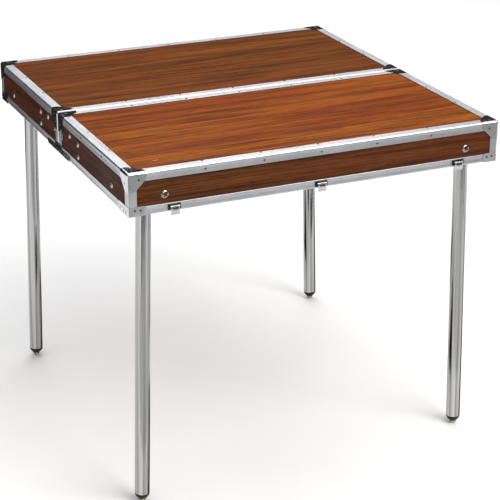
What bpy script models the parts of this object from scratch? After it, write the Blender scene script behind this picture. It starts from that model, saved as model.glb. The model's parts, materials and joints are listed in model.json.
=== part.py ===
"""A suitcase folding table: two shallow wooden trays, edged with aluminium, joined by a long hinge.

Metres, +Z up. The origin is on the floor under the middle of the table, +X runs along the seam
between the trays and the front tray lies towards -Y. Each tray is modelled in its own frame, whose
origin is on the hinge axis and whose body lies towards -Y; the rear tray is the same tray turned
half a turn about Z.
"""

import math

import bmesh
import bpy
from mathutils import Matrix, Vector

# Whole table
TABLE_WIDTH = 0.800
TRAY_DEPTH = 0.4095
SEAM_HALF_GAP = 0.0005
TRAY_HEIGHT = 0.085
TABLE_HEIGHT = 0.710
RIM_TO_HINGE_AXIS = 0.0014
TOUCH_GAP = 0.0003

# Wooden panels
PANEL_THICKNESS = 0.009
WALL_THICKNESS = 0.007

# Aluminium edge trims
TRIM_THICKNESS = 0.0012
TOP_TRIM_WIDTH = 0.020
TOP_TRIM_DROP = 0.0175
POST_WIDTH = 0.018
RIM_TRIM_RISE = 0.017
RIM_TRIM_RETURN = 0.009
HINGE_NOTCH_DEPTH = 0.0045
HINGE_NOTCH_TOP = 0.0038
HINGE_NOTCH_HALF_LENGTH = 0.386

# Corner fittings
CAP_THICKNESS = 0.001
CAP_WING = 0.038
CAP_CHAMFER = 0.049
FOOT_CORNER_HEIGHT = 0.019
FOOT_CORNER_LONG_WING = 0.034
FOOT_CORNER_END_WING = 0.050
SEAM_CORNER_END_WING = 0.072

# Legs: each tray has one leg in an outer, low lane and one in an inner, high lane
TUBE_RADIUS = 0.015
TUBE_WALL = 0.0015
LEG_LEAN = math.radians(1.5)
TUBE_ABOVE_PIVOT = 0.007
OUTER_LANE = {"end_inset": 0.040, "wall_inset": 0.0265, "depth": 0.057}
INNER_LANE = {"end_inset": 0.050, "wall_inset": 0.0600, "depth": 0.0275}

# Leg end: plug and levelling foot, as heights above the foot's lowest point
FOOT_FLAT_RADIUS = 0.005
FOOT_RADIUS = 0.0075
FOOT_CHAMFER_HEIGHT = 0.0015
FOOT_DISC_TOP = 0.0035
FOOT_NECK_HEIGHT = 0.005
FOOT_STEM_RADIUS = 0.0035
FOOT_STEM_TOP = 0.032
PLUG_BOTTOM = 0.006
PLUG_TOP = 0.019
PLUG_BOTTOM_RADIUS = 0.0105
PLUG_BORE_RADIUS = 0.0039
SPIGOT_TOP = 0.040

# Leg brackets and their pivot bolts
BRACKET_THICKNESS = 0.002
BRACKET_SIDE_GAP = 0.0005
BRACKET_WALL_REACH = 0.088
BRACKET_END_REACH = 0.105
BRACKET_BOTTOM = 0.0150
BRACKET_TOP = 0.0700
CHEEK_PAST_PIVOT = 0.022
CHEEK_BELOW_PIVOT = 0.0175
CHEEK_ABOVE_PIVOT = 0.0180
STOP_TOP_BELOW_PIVOT = 0.0090
STOP_GAP = 0.0007
STOP_THICKNESS = 0.002
BOLT_RADIUS = 0.004
BOLT_CLEARANCE = 0.0003
BOLT_HEAD_RADIUS = 0.0065
BOLT_HEAD_HEIGHT = 0.004

# Piano hinge along the seam
HINGE_HALF_LENGTH = 0.378
KNUCKLE_COUNT = 9
KNUCKLE_RADIUS = 0.003
KNUCKLE_BORE_RADIUS = 0.0016
HINGE_PIN_RADIUS = 0.0013
LEAF_BOTTOM = 0.0003
LEAF_THICKNESS = 0.0008
LEAF_WIDTH = 0.0105
LEAF_CLEAR_OF_KNUCKLES = 0.0034
LEAF_INTO_KNUCKLE = 0.0021

# Catches on the front tray's rim and the studs they hold on the rear tray's rim
CATCH_PITCH = 0.308
CATCH_BASE_WIDTH = 0.0270
CATCH_BASE_BOTTOM = 0.0044
CATCH_BASE_TOP = 0.0164
CATCH_AXIS_OUT = 0.0046
CATCH_AXIS_HEIGHT = 0.0112
CATCH_EAR_INNER = 0.0102
CATCH_EAR_THICKNESS = 0.0012
CATCH_EAR_HALF_HEIGHT = 0.0030
CATCH_TRUNNION_RADIUS = 0.0010
CATCH_TRUNNION_CLEARANCE = 0.0003
HASP_HALF_WIDTH = 0.0097
HASP_THICKNESS = 0.0012
HASP_BARREL_RADIUS = 0.0019
HASP_BELOW_RIM = 0.0065
STUD_RADIUS = 0.002
STUD_HEIGHT = 0.002
STUD_ABOVE_RIM = 0.0022

# Carrying handle on the rear tray's rim
HANDLE_AXIS_OUT = 0.0085
HANDLE_AXIS_HEIGHT = 0.0110
HANDLE_HALF_SPAN = 0.0490
HANDLE_DROP = 0.037
HANDLE_ROD_RADIUS = 0.0022
HANDLE_GRIP_RADIUS = 0.0050
HANDLE_GRIP_HALF_LENGTH = 0.0400
HANDLE_CORNER_RADIUS = 0.008
HANDLE_PIVOT_END = 0.0605
EAR_HALF_THICKNESS = 0.0025
EAR_CENTRE = 0.0560
EAR_REACH = 0.0125
EAR_BOTTOM = 0.0055
EAR_TOP = 0.0165
EAR_BORE_CLEARANCE = 0.0003

# Derived places in a tray's frame
HALF_WIDTH = TABLE_WIDTH / 2
SEAM_FACE = -SEAM_HALF_GAP
WALL_FACE = SEAM_FACE - TRAY_DEPTH
RIM = RIM_TO_HINGE_AXIS
RIM_TOP = RIM + RIM_TRIM_RISE
TRAY_TOP = RIM + TRAY_HEIGHT
HINGE_AXIS_Z = TABLE_HEIGHT - TRAY_TOP
SKIN = TRIM_THICKNESS + TOUCH_GAP
PANEL_TOP = TRAY_TOP - SKIN
PANEL_UNDERSIDE = PANEL_TOP - PANEL_THICKNESS
PROUD = TOUCH_GAP + CAP_THICKNESS

ROUND_SIDES = 24
SMALL_SIDES = 12
SHARP_EDGE = math.radians(35)
MERGE = 0.00001

COLOURS = {
    "laminate_top": ((0.27, 0.085, 0.024), 0.35, 0.0),
    "laminate_wall": ((0.13, 0.040, 0.018), 0.40, 0.0),
    "laminate_end": ((0.075, 0.026, 0.016), 0.45, 0.0),
    "trim_aluminium": ((0.72, 0.73, 0.75), 0.30, 1.0),
    "chrome": ((0.80, 0.80, 0.81), 0.08, 1.0),
    "leg_chrome": ((0.78, 0.78, 0.78), 0.12, 1.0),
    "zinc_steel": ((0.58, 0.58, 0.60), 0.35, 1.0),
    "black_plastic": ((0.015, 0.015, 0.016), 0.45, 0.0),
}


def clear_scene():
    for obj in list(bpy.data.objects):
        bpy.data.objects.remove(obj, do_unlink=True)


def make_collection(name):
    collection = bpy.data.collections.new(name)
    bpy.context.scene.collection.children.link(collection)
    return collection


def make_materials():
    materials = {}
    for name, (colour, roughness, metallic) in COLOURS.items():
        material = bpy.data.materials.new(name)
        material.use_nodes = True
        shader = material.node_tree.nodes["Principled BSDF"]
        shader.inputs["Base Color"].default_value = (*colour, 1.0)
        shader.inputs["Roughness"].default_value = roughness
        shader.inputs["Metallic"].default_value = metallic
        material.diffuse_color = (*colour, 1.0)
        materials[name] = material
    return materials


def tool_object(bm):
    """A working object that only lives until its shape is baked."""
    mesh = bpy.data.meshes.new("tool")
    bm.to_mesh(mesh)
    bm.free()
    obj = bpy.data.objects.new("tool", mesh)
    bpy.context.scene.collection.objects.link(obj)
    return obj


def block(low, high):
    low, high = Vector(low), Vector(high)
    bm = bmesh.new()
    bmesh.ops.create_cube(bm, size=1.0)
    bmesh.ops.scale(bm, vec=high - low, verts=bm.verts)
    bmesh.ops.translate(bm, vec=(low + high) / 2, verts=bm.verts)
    return tool_object(bm)


def rod(start, end, radius, sides):
    start, end = Vector(start), Vector(end)
    bm = bmesh.new()
    bmesh.ops.create_cone(
        bm, cap_ends=True, segments=sides, radius1=radius, radius2=radius, depth=(end - start).length
    )
    turn = (end - start).to_track_quat("Z", "Y").to_matrix().to_4x4()
    bm.transform(Matrix.Translation((start + end) / 2) @ turn)
    return tool_object(bm)


def baked(name, base, adds=(), cuts=()):
    """Joins adds to base, takes cuts out, and returns the finished mesh."""
    for operation, tools in (("UNION", adds), ("DIFFERENCE", cuts)):
        for tool in tools:
            modifier = base.modifiers.new(operation.lower(), "BOOLEAN")
            modifier.operation = operation
            modifier.solver = "EXACT"
            modifier.object = tool
    bpy.context.view_layer.update()
    evaluated = base.evaluated_get(bpy.context.evaluated_depsgraph_get())
    mesh = bpy.data.meshes.new_from_object(evaluated)
    mesh.name = name
    bm = bmesh.new()
    bm.from_mesh(mesh)
    bmesh.ops.remove_doubles(bm, verts=bm.verts, dist=MERGE)
    bmesh.ops.dissolve_limit(bm, angle_limit=math.radians(0.1), verts=bm.verts, edges=bm.edges)
    bm.to_mesh(mesh)
    bm.free()
    for tool in (base, *adds, *cuts):
        bpy.data.objects.remove(tool, do_unlink=True)
    return mesh


def turned(name, profile, sides, closed=False):
    """A mesh turned about Z from (radius, height) points that run down its outer side."""
    mesh = bpy.data.meshes.new("profile")
    edges = [(i, i + 1) for i in range(len(profile) - 1)]
    if closed:
        edges.append((len(profile) - 1, 0))
    mesh.from_pydata([(radius, 0, height) for radius, height in profile], edges, [])
    obj = bpy.data.objects.new("tool", mesh)
    bpy.context.scene.collection.objects.link(obj)
    screw = obj.modifiers.new("screw", "SCREW")
    screw.steps = sides
    screw.render_steps = sides
    screw.use_merge_vertices = True
    screw.merge_threshold = MERGE
    return baked(name, obj)


def smooth(mesh):
    mesh.shade_smooth()
    mesh.set_sharp_from_angle(angle=SHARP_EDGE)
    return mesh


# Shapes of one tray, each in the tray's frame


def panel_mesh():
    edge = HALF_WIDTH - SKIN
    return baked(
        "panel",
        block((-edge, WALL_FACE + SKIN, PANEL_UNDERSIDE), (edge, SEAM_FACE - SKIN, PANEL_TOP)),
    )


def wall_span():
    return RIM + SKIN, PANEL_UNDERSIDE - TOUCH_GAP


def long_wall_mesh(outer):
    low, high = wall_span()
    edge = HALF_WIDTH - SKIN
    near = WALL_FACE + SKIN if outer else SEAM_FACE - SKIN - WALL_THICKNESS
    return baked("long_wall", block((-edge, near, low), (edge, near + WALL_THICKNESS, high)))


def end_wall_mesh(side):
    low, high = wall_span()
    outside = HALF_WIDTH - SKIN
    inside = outside - WALL_THICKNESS
    clear = SKIN + WALL_THICKNESS + TOUCH_GAP
    x_low, x_high = sorted((side * inside, side * outside))
    return baked(
        "end_wall", block((x_low, WALL_FACE + clear, low), (x_high, SEAM_FACE - clear, high))
    )


def ring_block(inset, low, high):
    return block(
        (-HALF_WIDTH + inset, WALL_FACE + inset, low), (HALF_WIDTH - inset, SEAM_FACE - inset, high)
    )


def top_frame_mesh():
    """The angle trim round the top with the four corner posts that hang from it."""
    beyond = 0.01
    bottom = RIM_TOP + TOUCH_GAP
    window_top = TRAY_TOP - TOP_TRIM_DROP
    side_window = block(
        (-HALF_WIDTH - beyond, WALL_FACE + POST_WIDTH, bottom - beyond),
        (HALF_WIDTH + beyond, SEAM_FACE - POST_WIDTH, window_top),
    )
    long_window = block(
        (-HALF_WIDTH + POST_WIDTH, WALL_FACE - beyond, bottom - beyond),
        (HALF_WIDTH - POST_WIDTH, SEAM_FACE + beyond, window_top),
    )
    cuts = [
        ring_block(TRIM_THICKNESS, bottom - beyond, TRAY_TOP - TRIM_THICKNESS),
        ring_block(TOP_TRIM_WIDTH, bottom - beyond, TRAY_TOP + beyond),
        side_window,
        long_window,
    ]
    return baked("top_frame", ring_block(0, bottom, TRAY_TOP), cuts=cuts)


def stud_tools():
    """The studs that the catches close over, on the rear tray's rim."""
    height = RIM + STUD_ABOVE_RIM
    tools = []
    for x in (-CATCH_PITCH, 0.0, CATCH_PITCH):
        inner = (x, WALL_FACE + TRIM_THICKNESS / 2, height)
        outer = (x, WALL_FACE - STUD_HEIGHT, height)
        tools.append(rod(inner, outer, STUD_RADIUS, SMALL_SIDES))
    return tools


def handle_axis():
    return WALL_FACE - HANDLE_AXIS_OUT, HANDLE_AXIS_HEIGHT


def ear_tools():
    """The two lugs that carry the handle and the one bore through both."""
    lugs = []
    for x in (-EAR_CENTRE, EAR_CENTRE):
        lugs.append(
            block(
                (x - EAR_HALF_THICKNESS, WALL_FACE - EAR_REACH, EAR_BOTTOM),
                (x + EAR_HALF_THICKNESS, WALL_FACE + TRIM_THICKNESS / 2, EAR_TOP),
            )
        )
    y, z = handle_axis()
    reach = EAR_CENTRE + 2 * EAR_HALF_THICKNESS
    bore = rod((-reach, y, z), (reach, y, z), HANDLE_ROD_RADIUS + EAR_BORE_CLEARANCE, SMALL_SIDES)
    return lugs, bore


def rim_trim_mesh(rear):
    """The angle trim round the open rim; the rear one carries the studs and the handle's lugs."""
    beyond = 0.01
    notch = block(
        (-HINGE_NOTCH_HALF_LENGTH, -HINGE_NOTCH_DEPTH, RIM - beyond),
        (HINGE_NOTCH_HALF_LENGTH, SEAM_FACE + beyond, HINGE_NOTCH_TOP),
    )
    cuts = [
        ring_block(TRIM_THICKNESS, RIM + TRIM_THICKNESS, RIM_TOP + beyond),
        ring_block(RIM_TRIM_RETURN, RIM - beyond, RIM_TOP + beyond),
        notch,
    ]
    adds = []
    if rear:
        lugs, bore = ear_tools()
        adds = stud_tools() + lugs
        ring = baked("ring", ring_block(0, RIM, RIM_TOP), cuts=cuts)
        obj = bpy.data.objects.new("tool", ring)
        bpy.context.scene.collection.objects.link(obj)
        return baked("rear_rim_trim", obj, adds=adds, cuts=[bore])
    return baked("front_rim_trim", ring_block(0, RIM, RIM_TOP), cuts=cuts)


def corner_span(side, at_wall, depth, proud_side, proud_wall):
    """X and Y limits of a corner fitting: it reaches depth inwards and stands proud outwards."""
    x = sorted((side * (HALF_WIDTH + proud_side), side * (HALF_WIDTH - depth[0])))
    if at_wall:
        y = (WALL_FACE - proud_wall, WALL_FACE + depth[1])
    else:
        y = (SEAM_FACE - depth[1], SEAM_FACE + proud_wall)
    return x, y


def corner_cap_mesh(side, at_wall):
    """A pressed cap over a top corner: wings on the faces, cut off by one slanting plane."""
    beyond = 0.03
    wall_proud = PROUD if at_wall else 0.0
    x, y = corner_span(side, at_wall, (CAP_WING, CAP_WING), PROUD, wall_proud)
    shell = block((x[0], y[0], TRAY_TOP - CAP_WING), (x[1], y[1], TRAY_TOP + PROUD))
    x, y = corner_span(
        side, at_wall, (CAP_WING + beyond,) * 2, TOUCH_GAP, TOUCH_GAP if at_wall else beyond
    )
    hollow = block((x[0], y[0], TRAY_TOP - CAP_WING - beyond), (x[1], y[1], TRAY_TOP + TOUCH_GAP))
    corner = Vector((side * HALF_WIDTH, WALL_FACE if at_wall else SEAM_FACE, TRAY_TOP))
    inwards = Vector((-side, 1 if at_wall else -1, -1)).normalized()
    size = 4 * CAP_WING
    knife = block((-size, -size, 0), (size, size, size))
    turn = inwards.to_track_quat("Z", "Y").to_matrix().to_4x4()
    reach = CAP_CHAMFER / math.sqrt(3)
    knife.matrix_world = Matrix.Translation(corner + inwards * reach) @ turn
    return baked("corner_cap", shell, cuts=[hollow, knife])


def foot_corner_mesh(side, at_wall):
    """The angle piece that wraps a lower corner of the tray."""
    beyond = 0.01
    reach = (FOOT_CORNER_LONG_WING, FOOT_CORNER_END_WING if at_wall else SEAM_CORNER_END_WING)
    x, y = corner_span(side, at_wall, reach, PROUD, PROUD if at_wall else 0.0)
    body = block((x[0], y[0], RIM), (x[1], y[1], RIM + FOOT_CORNER_HEIGHT))
    deep = (reach[0] + beyond, reach[1] + beyond)
    x, y = corner_span(side, at_wall, deep, TOUCH_GAP, TOUCH_GAP if at_wall else beyond)
    inside = block((x[0], y[0], RIM - beyond), (x[1], y[1], TRAY_TOP))
    return baked("foot_corner", body, cuts=[inside])


def lane_place(lane, side):
    """The pivot of a leg in its tray's frame."""
    x = side * (HALF_WIDTH - lane["end_inset"])
    return Vector((x, WALL_FACE + lane["wall_inset"], TRAY_TOP - lane["depth"]))


def bracket_mesh(lane, side):
    """A folded corner bracket: plates on the wall and the end, two cheeks and a stop for the leg."""
    pivot = lane_place(lane, side)
    wall_plate = WALL_FACE + SKIN + WALL_THICKNESS + BRACKET_SIDE_GAP
    end_plate = HALF_WIDTH - SKIN - WALL_THICKNESS - BRACKET_SIDE_GAP
    cheek = TUBE_RADIUS + BRACKET_SIDE_GAP
    low = pivot.z - CHEEK_BELOW_PIVOT
    high = pivot.z + CHEEK_ABOVE_PIVOT
    plate_low = min(BRACKET_BOTTOM, low)

    def plate(x_from, x_to, y_from, y_to, z_from, z_to):
        x_low, x_high = sorted((side * x_from, side * x_to))
        return block((x_low, y_from, z_from), (x_high, y_to, z_to))

    inside_end = abs(pivot.x) - CHEEK_PAST_PIVOT
    end = plate(
        end_plate - BRACKET_THICKNESS,
        end_plate,
        wall_plate,
        WALL_FACE + BRACKET_END_REACH,
        plate_low,
        BRACKET_TOP,
    )
    against_wall = plate(
        HALF_WIDTH - BRACKET_WALL_REACH,
        end_plate - BRACKET_THICKNESS / 2,
        wall_plate,
        wall_plate + BRACKET_THICKNESS,
        plate_low,
        BRACKET_TOP,
    )
    cheek_ys = [pivot.y + cheek]
    if pivot.y - cheek - BRACKET_THICKNESS > wall_plate + BRACKET_THICKNESS:
        cheek_ys.append(pivot.y - cheek - BRACKET_THICKNESS)
    adds = [against_wall]
    for y in cheek_ys:
        adds.append(
            plate(
                inside_end,
                end_plate - BRACKET_THICKNESS / 2,
                y,
                y + BRACKET_THICKNESS,
                low,
                min(high, BRACKET_TOP - TOUCH_GAP),
            )
        )
    stop_face = abs(pivot.x) + TUBE_RADIUS + STOP_GAP
    stop_low = low + TOUCH_GAP
    adds.append(
        plate(
            stop_face,
            stop_face + STOP_THICKNESS,
            pivot.y - cheek - BRACKET_THICKNESS / 2,
            pivot.y + cheek + BRACKET_THICKNESS / 2,
            stop_low,
            pivot.z - STOP_TOP_BELOW_PIVOT,
        )
    )
    reach = cheek + 2 * BRACKET_THICKNESS
    bore = rod(
        pivot - Vector((0, reach, 0)),
        pivot + Vector((0, reach, 0)),
        BOLT_RADIUS + BOLT_CLEARANCE,
        SMALL_SIDES,
    )
    return baked("leg_bracket", end, adds=adds, cuts=[bore])


def bolt_mesh(lane):
    """A pivot bolt lying along Y, with its nut where there is room for one."""
    cheek = TUBE_RADIUS + BRACKET_SIDE_GAP + BRACKET_THICKNESS
    head_face = cheek + TOUCH_GAP
    to_wall = lane["wall_inset"] - SKIN - WALL_THICKNESS
    has_nut = to_wall > head_face + BOLT_HEAD_HEIGHT + TOUCH_GAP
    shank_end = -head_face - BOLT_HEAD_HEIGHT / 2 if has_nut else -cheek
    shank = rod((0, shank_end, 0), (0, head_face + BOLT_HEAD_HEIGHT / 2, 0), BOLT_RADIUS, SMALL_SIDES)
    adds = [rod((0, head_face, 0), (0, head_face + BOLT_HEAD_HEIGHT, 0), BOLT_HEAD_RADIUS, 6)]
    if has_nut:
        adds.append(rod((0, -head_face - BOLT_HEAD_HEIGHT, 0), (0, -head_face, 0), BOLT_HEAD_RADIUS, 6))
    return smooth(baked("pivot_bolt", shank, adds=adds))


def leg_length(lane):
    """Distance along the leg from its pivot to the foot's lowest flat, with the table on the floor."""
    pivot_height = HINGE_AXIS_Z + TRAY_TOP - lane["depth"]
    return (pivot_height - FOOT_FLAT_RADIUS * math.sin(LEG_LEAN)) / math.cos(LEG_LEAN)


def tube_mesh(lane):
    """An open tube along Z, cross-drilled at its pivot, which is its origin."""
    bottom = -leg_length(lane) + PLUG_TOP + TOUCH_GAP
    inner = TUBE_RADIUS - TUBE_WALL
    profile = [
        (inner, TUBE_ABOVE_PIVOT),
        (TUBE_RADIUS, TUBE_ABOVE_PIVOT),
        (TUBE_RADIUS, bottom),
        (inner, bottom),
    ]
    mesh = turned("leg_tube", profile, ROUND_SIDES, closed=True)
    obj = bpy.data.objects.new("tool", mesh)
    bpy.context.scene.collection.objects.link(obj)
    reach = 2 * TUBE_RADIUS
    bore = rod((0, -reach, 0), (0, reach, 0), BOLT_RADIUS + BOLT_CLEARANCE, SMALL_SIDES)
    return smooth(baked("leg_tube", obj, cuts=[bore]))


def plug_mesh():
    """The tapered end plug, with its spigot up inside the tube and a bore for the foot's stem."""
    spigot = TUBE_RADIUS - TUBE_WALL - TOUCH_GAP
    profile = [
        (PLUG_BORE_RADIUS, SPIGOT_TOP),
        (spigot, SPIGOT_TOP),
        (spigot, PLUG_TOP),
        (TUBE_RADIUS, PLUG_TOP),
        (PLUG_BOTTOM_RADIUS, PLUG_BOTTOM),
        (PLUG_BORE_RADIUS, PLUG_BOTTOM),
    ]
    return smooth(turned("leg_plug", profile, ROUND_SIDES, closed=True))


def foot_mesh():
    """The levelling foot: a small domed disc on a threaded stem."""
    profile = [
        (0.0, FOOT_STEM_TOP),
        (FOOT_STEM_RADIUS, FOOT_STEM_TOP),
        (FOOT_STEM_RADIUS, FOOT_NECK_HEIGHT),
        (FOOT_RADIUS, FOOT_DISC_TOP),
        (FOOT_RADIUS, FOOT_CHAMFER_HEIGHT),
        (FOOT_FLAT_RADIUS, 0.0),
        (0.0, 0.0),
    ]
    return smooth(turned("levelling_foot", profile, ROUND_SIDES))


def hinge_leaf_mesh(front):
    """One leaf of the piano hinge, its plate under the rim and every other knuckle."""
    pitch = 2 * HINGE_HALF_LENGTH / KNUCKLE_COUNT
    top = LEAF_BOTTOM + LEAF_THICKNESS
    plate = block(
        (-HINGE_HALF_LENGTH, -LEAF_WIDTH, LEAF_BOTTOM),
        (HINGE_HALF_LENGTH, -LEAF_CLEAR_OF_KNUCKLES, top),
    )
    adds = []
    for cell in range(0 if front else 1, KNUCKLE_COUNT, 2):
        start = -HINGE_HALF_LENGTH + cell * pitch + TOUCH_GAP
        end = start + pitch - 2 * TOUCH_GAP
        adds.append(rod((start, 0, 0), (end, 0, 0), KNUCKLE_RADIUS, SMALL_SIDES))
        adds.append(
            block(
                (start + TOUCH_GAP, -LEAF_CLEAR_OF_KNUCKLES - TOUCH_GAP, LEAF_BOTTOM),
                (end - TOUCH_GAP, -LEAF_INTO_KNUCKLE, top),
            )
        )
    beyond = HINGE_HALF_LENGTH + 0.01
    bore = rod((-beyond, 0, 0), (beyond, 0, 0), KNUCKLE_BORE_RADIUS, SMALL_SIDES)
    return smooth(baked("hinge_leaf", plate, adds=adds, cuts=[bore]))


def hinge_pin_mesh():
    return smooth(
        baked(
            "hinge_pin",
            rod((-HINGE_HALF_LENGTH, 0, 0), (HINGE_HALF_LENGTH, 0, 0), HINGE_PIN_RADIUS, SMALL_SIDES),
        )
    )


def catch_base_mesh():
    """A riveted plate with two ears, measured from the catch's place on the tray's wall face."""
    half = CATCH_BASE_WIDTH / 2
    plate = block((-half, -PROUD, CATCH_BASE_BOTTOM), (half, -TOUCH_GAP, CATCH_BASE_TOP))
    ears = []
    for side in (-1, 1):
        x_low, x_high = sorted(
            (side * CATCH_EAR_INNER, side * (CATCH_EAR_INNER + CATCH_EAR_THICKNESS))
        )
        ears.append(
            block(
                (x_low, -CATCH_AXIS_OUT - 0.0020, CATCH_AXIS_HEIGHT - CATCH_EAR_HALF_HEIGHT),
                (x_high, -TOUCH_GAP - CAP_THICKNESS / 2, CATCH_AXIS_HEIGHT + CATCH_EAR_HALF_HEIGHT),
            )
        )
    bore = rod(
        (-half, -CATCH_AXIS_OUT, CATCH_AXIS_HEIGHT),
        (half, -CATCH_AXIS_OUT, CATCH_AXIS_HEIGHT),
        CATCH_TRUNNION_RADIUS + CATCH_TRUNNION_CLEARANCE,
        SMALL_SIDES,
    )
    return baked("catch_base", plate, adds=ears, cuts=[bore])


def hasp_mesh():
    """The swinging hasp, from its own axis: barrel, end trunnions and a plate that hangs down."""
    barrel = rod((-HASP_HALF_WIDTH, 0, 0), (HASP_HALF_WIDTH, 0, 0), HASP_BARREL_RADIUS, SMALL_SIDES)
    trunnion_end = CATCH_EAR_INNER + CATCH_EAR_THICKNESS
    trunnions = rod((-trunnion_end, 0, 0), (trunnion_end, 0, 0), CATCH_TRUNNION_RADIUS, SMALL_SIDES)
    bottom = RIM - HASP_BELOW_RIM - CATCH_AXIS_HEIGHT
    plate = block(
        (-HASP_HALF_WIDTH + TOUCH_GAP, -HASP_BARREL_RADIUS + TOUCH_GAP / 2, bottom),
        (HASP_HALF_WIDTH - TOUCH_GAP, -HASP_BARREL_RADIUS + TOUCH_GAP / 2 + HASP_THICKNESS, 0),
    )
    return smooth(baked("catch_hasp", barrel, adds=[plate, trunnions]))


def tube_through(points, radius):
    """A round bar along straight runs with rounded corners, as a closed mesh."""
    curve = bpy.data.curves.new("bar", "CURVE")
    curve.dimensions = "3D"
    curve.bevel_depth = radius
    curve.bevel_resolution = 2
    curve.use_fill_caps = True
    spline = curve.splines.new("POLY")
    spline.points.add(len(points) - 1)
    for point, place in zip(spline.points, points):
        point.co = (*place, 1.0)
    bar = bpy.data.objects.new("bar", curve)
    bpy.context.scene.collection.objects.link(bar)
    bpy.context.view_layer.update()
    evaluated = bar.evaluated_get(bpy.context.evaluated_depsgraph_get())
    mesh = bpy.data.meshes.new_from_object(evaluated)
    bm = bmesh.new()
    bm.from_mesh(mesh)
    bmesh.ops.remove_doubles(bm, verts=bm.verts, dist=MERGE)
    bm.to_mesh(mesh)
    bm.free()
    obj = bpy.data.objects.new("tool", mesh)
    bpy.context.scene.collection.objects.link(obj)
    bpy.data.objects.remove(bar, do_unlink=True)
    return obj


def rounded_corner(corner, before, after, radius, steps=4):
    """Points on an arc that turns from one square run into the next."""
    corner, before, after = Vector(corner), Vector(before), Vector(after)
    centre = corner + (before + after) * radius
    points = []
    for step in range(steps + 1):
        angle = math.pi / 2 * step / steps
        points.append(centre - after * radius * math.cos(angle) - before * radius * math.sin(angle))
    return points


def handle_mesh():
    """The bail handle, from its own axis: pivots turned outwards, two arms and a grip."""
    left, right, up = Vector((-1, 0, 0)), Vector((1, 0, 0)), Vector((0, 0, 1))
    span, drop, bend = HANDLE_HALF_SPAN, HANDLE_DROP, HANDLE_CORNER_RADIUS
    points = [Vector((-HANDLE_PIVOT_END, 0, 0))]
    points += rounded_corner((-span, 0, 0), left, -up, HANDLE_ROD_RADIUS * 1.6)
    points += rounded_corner((-span, 0, -drop), up, right, bend)
    points += rounded_corner((span, 0, -drop), left, up, bend)
    points += rounded_corner((span, 0, 0), -up, right, HANDLE_ROD_RADIUS * 1.6)
    points.append(Vector((HANDLE_PIVOT_END, 0, 0)))
    bail = tube_through(points, HANDLE_ROD_RADIUS)
    grip = rod(
        (-HANDLE_GRIP_HALF_LENGTH, 0, -drop),
        (HANDLE_GRIP_HALF_LENGTH, 0, -drop),
        HANDLE_GRIP_RADIUS,
        SMALL_SIDES,
    )
    return smooth(baked("carry_handle", bail, adds=[grip]))


# Assembly


class Assembly:
    """Places meshes as named parts under the empties that carry them."""

    def __init__(self):
        self.collection = make_collection("folding_table")
        self.materials = make_materials()

    def empty(self, name, parent=None, location=(0, 0, 0), rotation=(0, 0, 0)):
        obj = bpy.data.objects.new(name, None)
        obj.location = location
        obj.rotation_euler = rotation
        obj.parent = parent
        self.collection.objects.link(obj)
        return obj

    def part(self, name, mesh, material, parent, location=(0, 0, 0)):
        obj = bpy.data.objects.new(name, mesh)
        if not mesh.materials:
            mesh.materials.append(None)
        self.collection.objects.link(obj)
        obj.material_slots[0].link = "OBJECT"
        obj.material_slots[0].material = self.materials[material]
        obj.parent = parent
        obj.location = location
        return obj


def centred(mesh):
    """Moves a mesh to its own middle and returns where that middle was."""
    low = Vector(min(v.co[i] for v in mesh.vertices) for i in range(3))
    high = Vector(max(v.co[i] for v in mesh.vertices) for i in range(3))
    middle = (low + high) / 2
    mesh.transform(Matrix.Translation(-middle))
    return middle


def shared_tray_shapes():
    """The fixed shapes that both trays have: key -> (mesh, place, material)."""
    shapes = {
        "top_panel": (panel_mesh(), "laminate_top"),
        "outer_wall": (long_wall_mesh(True), "laminate_wall"),
        "seam_wall": (long_wall_mesh(False), "laminate_wall"),
        "top_frame": (top_frame_mesh(), "trim_aluminium"),
    }
    for side in (-1, 1):
        shapes["end_wall", side] = (end_wall_mesh(side), "laminate_end")
        for at_wall in (True, False):
            shapes["top_cap", side, at_wall] = (corner_cap_mesh(side, at_wall), "chrome")
            shapes["foot_corner", side, at_wall] = (foot_corner_mesh(side, at_wall), "chrome")
    return {key: (mesh, centred(mesh), material) for key, (mesh, material) in shapes.items()}


def side_word(side, rear):
    """Left or right as seen from the front; the rear tray is turned round."""
    return "left" if (side < 0) != rear else "right"


def add_tray(assembly, tray, rear, shapes):
    word = "rear" if rear else "front"
    for key, (mesh, place, material) in shapes.items():
        if isinstance(key, str):
            name = f"{word}_{key}"
        elif len(key) == 2:
            name = f"{word}_{key[0]}_{side_word(key[1], rear)}"
        else:
            where = "outer" if key[2] else "seam"
            name = f"{word}_{where}_{key[0]}_{side_word(key[1], rear)}"
        assembly.part(name, mesh, material, tray, place)
    rim = rim_trim_mesh(rear)
    assembly.part(f"{word}_rim_trim", rim, "trim_aluminium", tray, centred(rim))
    leaf = hinge_leaf_mesh(not rear)
    assembly.part(f"{word}_hinge_leaf", leaf, "zinc_steel", tray)


def leg_shapes():
    shapes = {}
    for side, lane in ((-1, OUTER_LANE), (1, INNER_LANE)):
        bracket = bracket_mesh(lane, side)
        place = centred(bracket)
        shapes[side] = (lane, bracket, place, bolt_mesh(lane), tube_mesh(lane))
    return shapes


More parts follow.
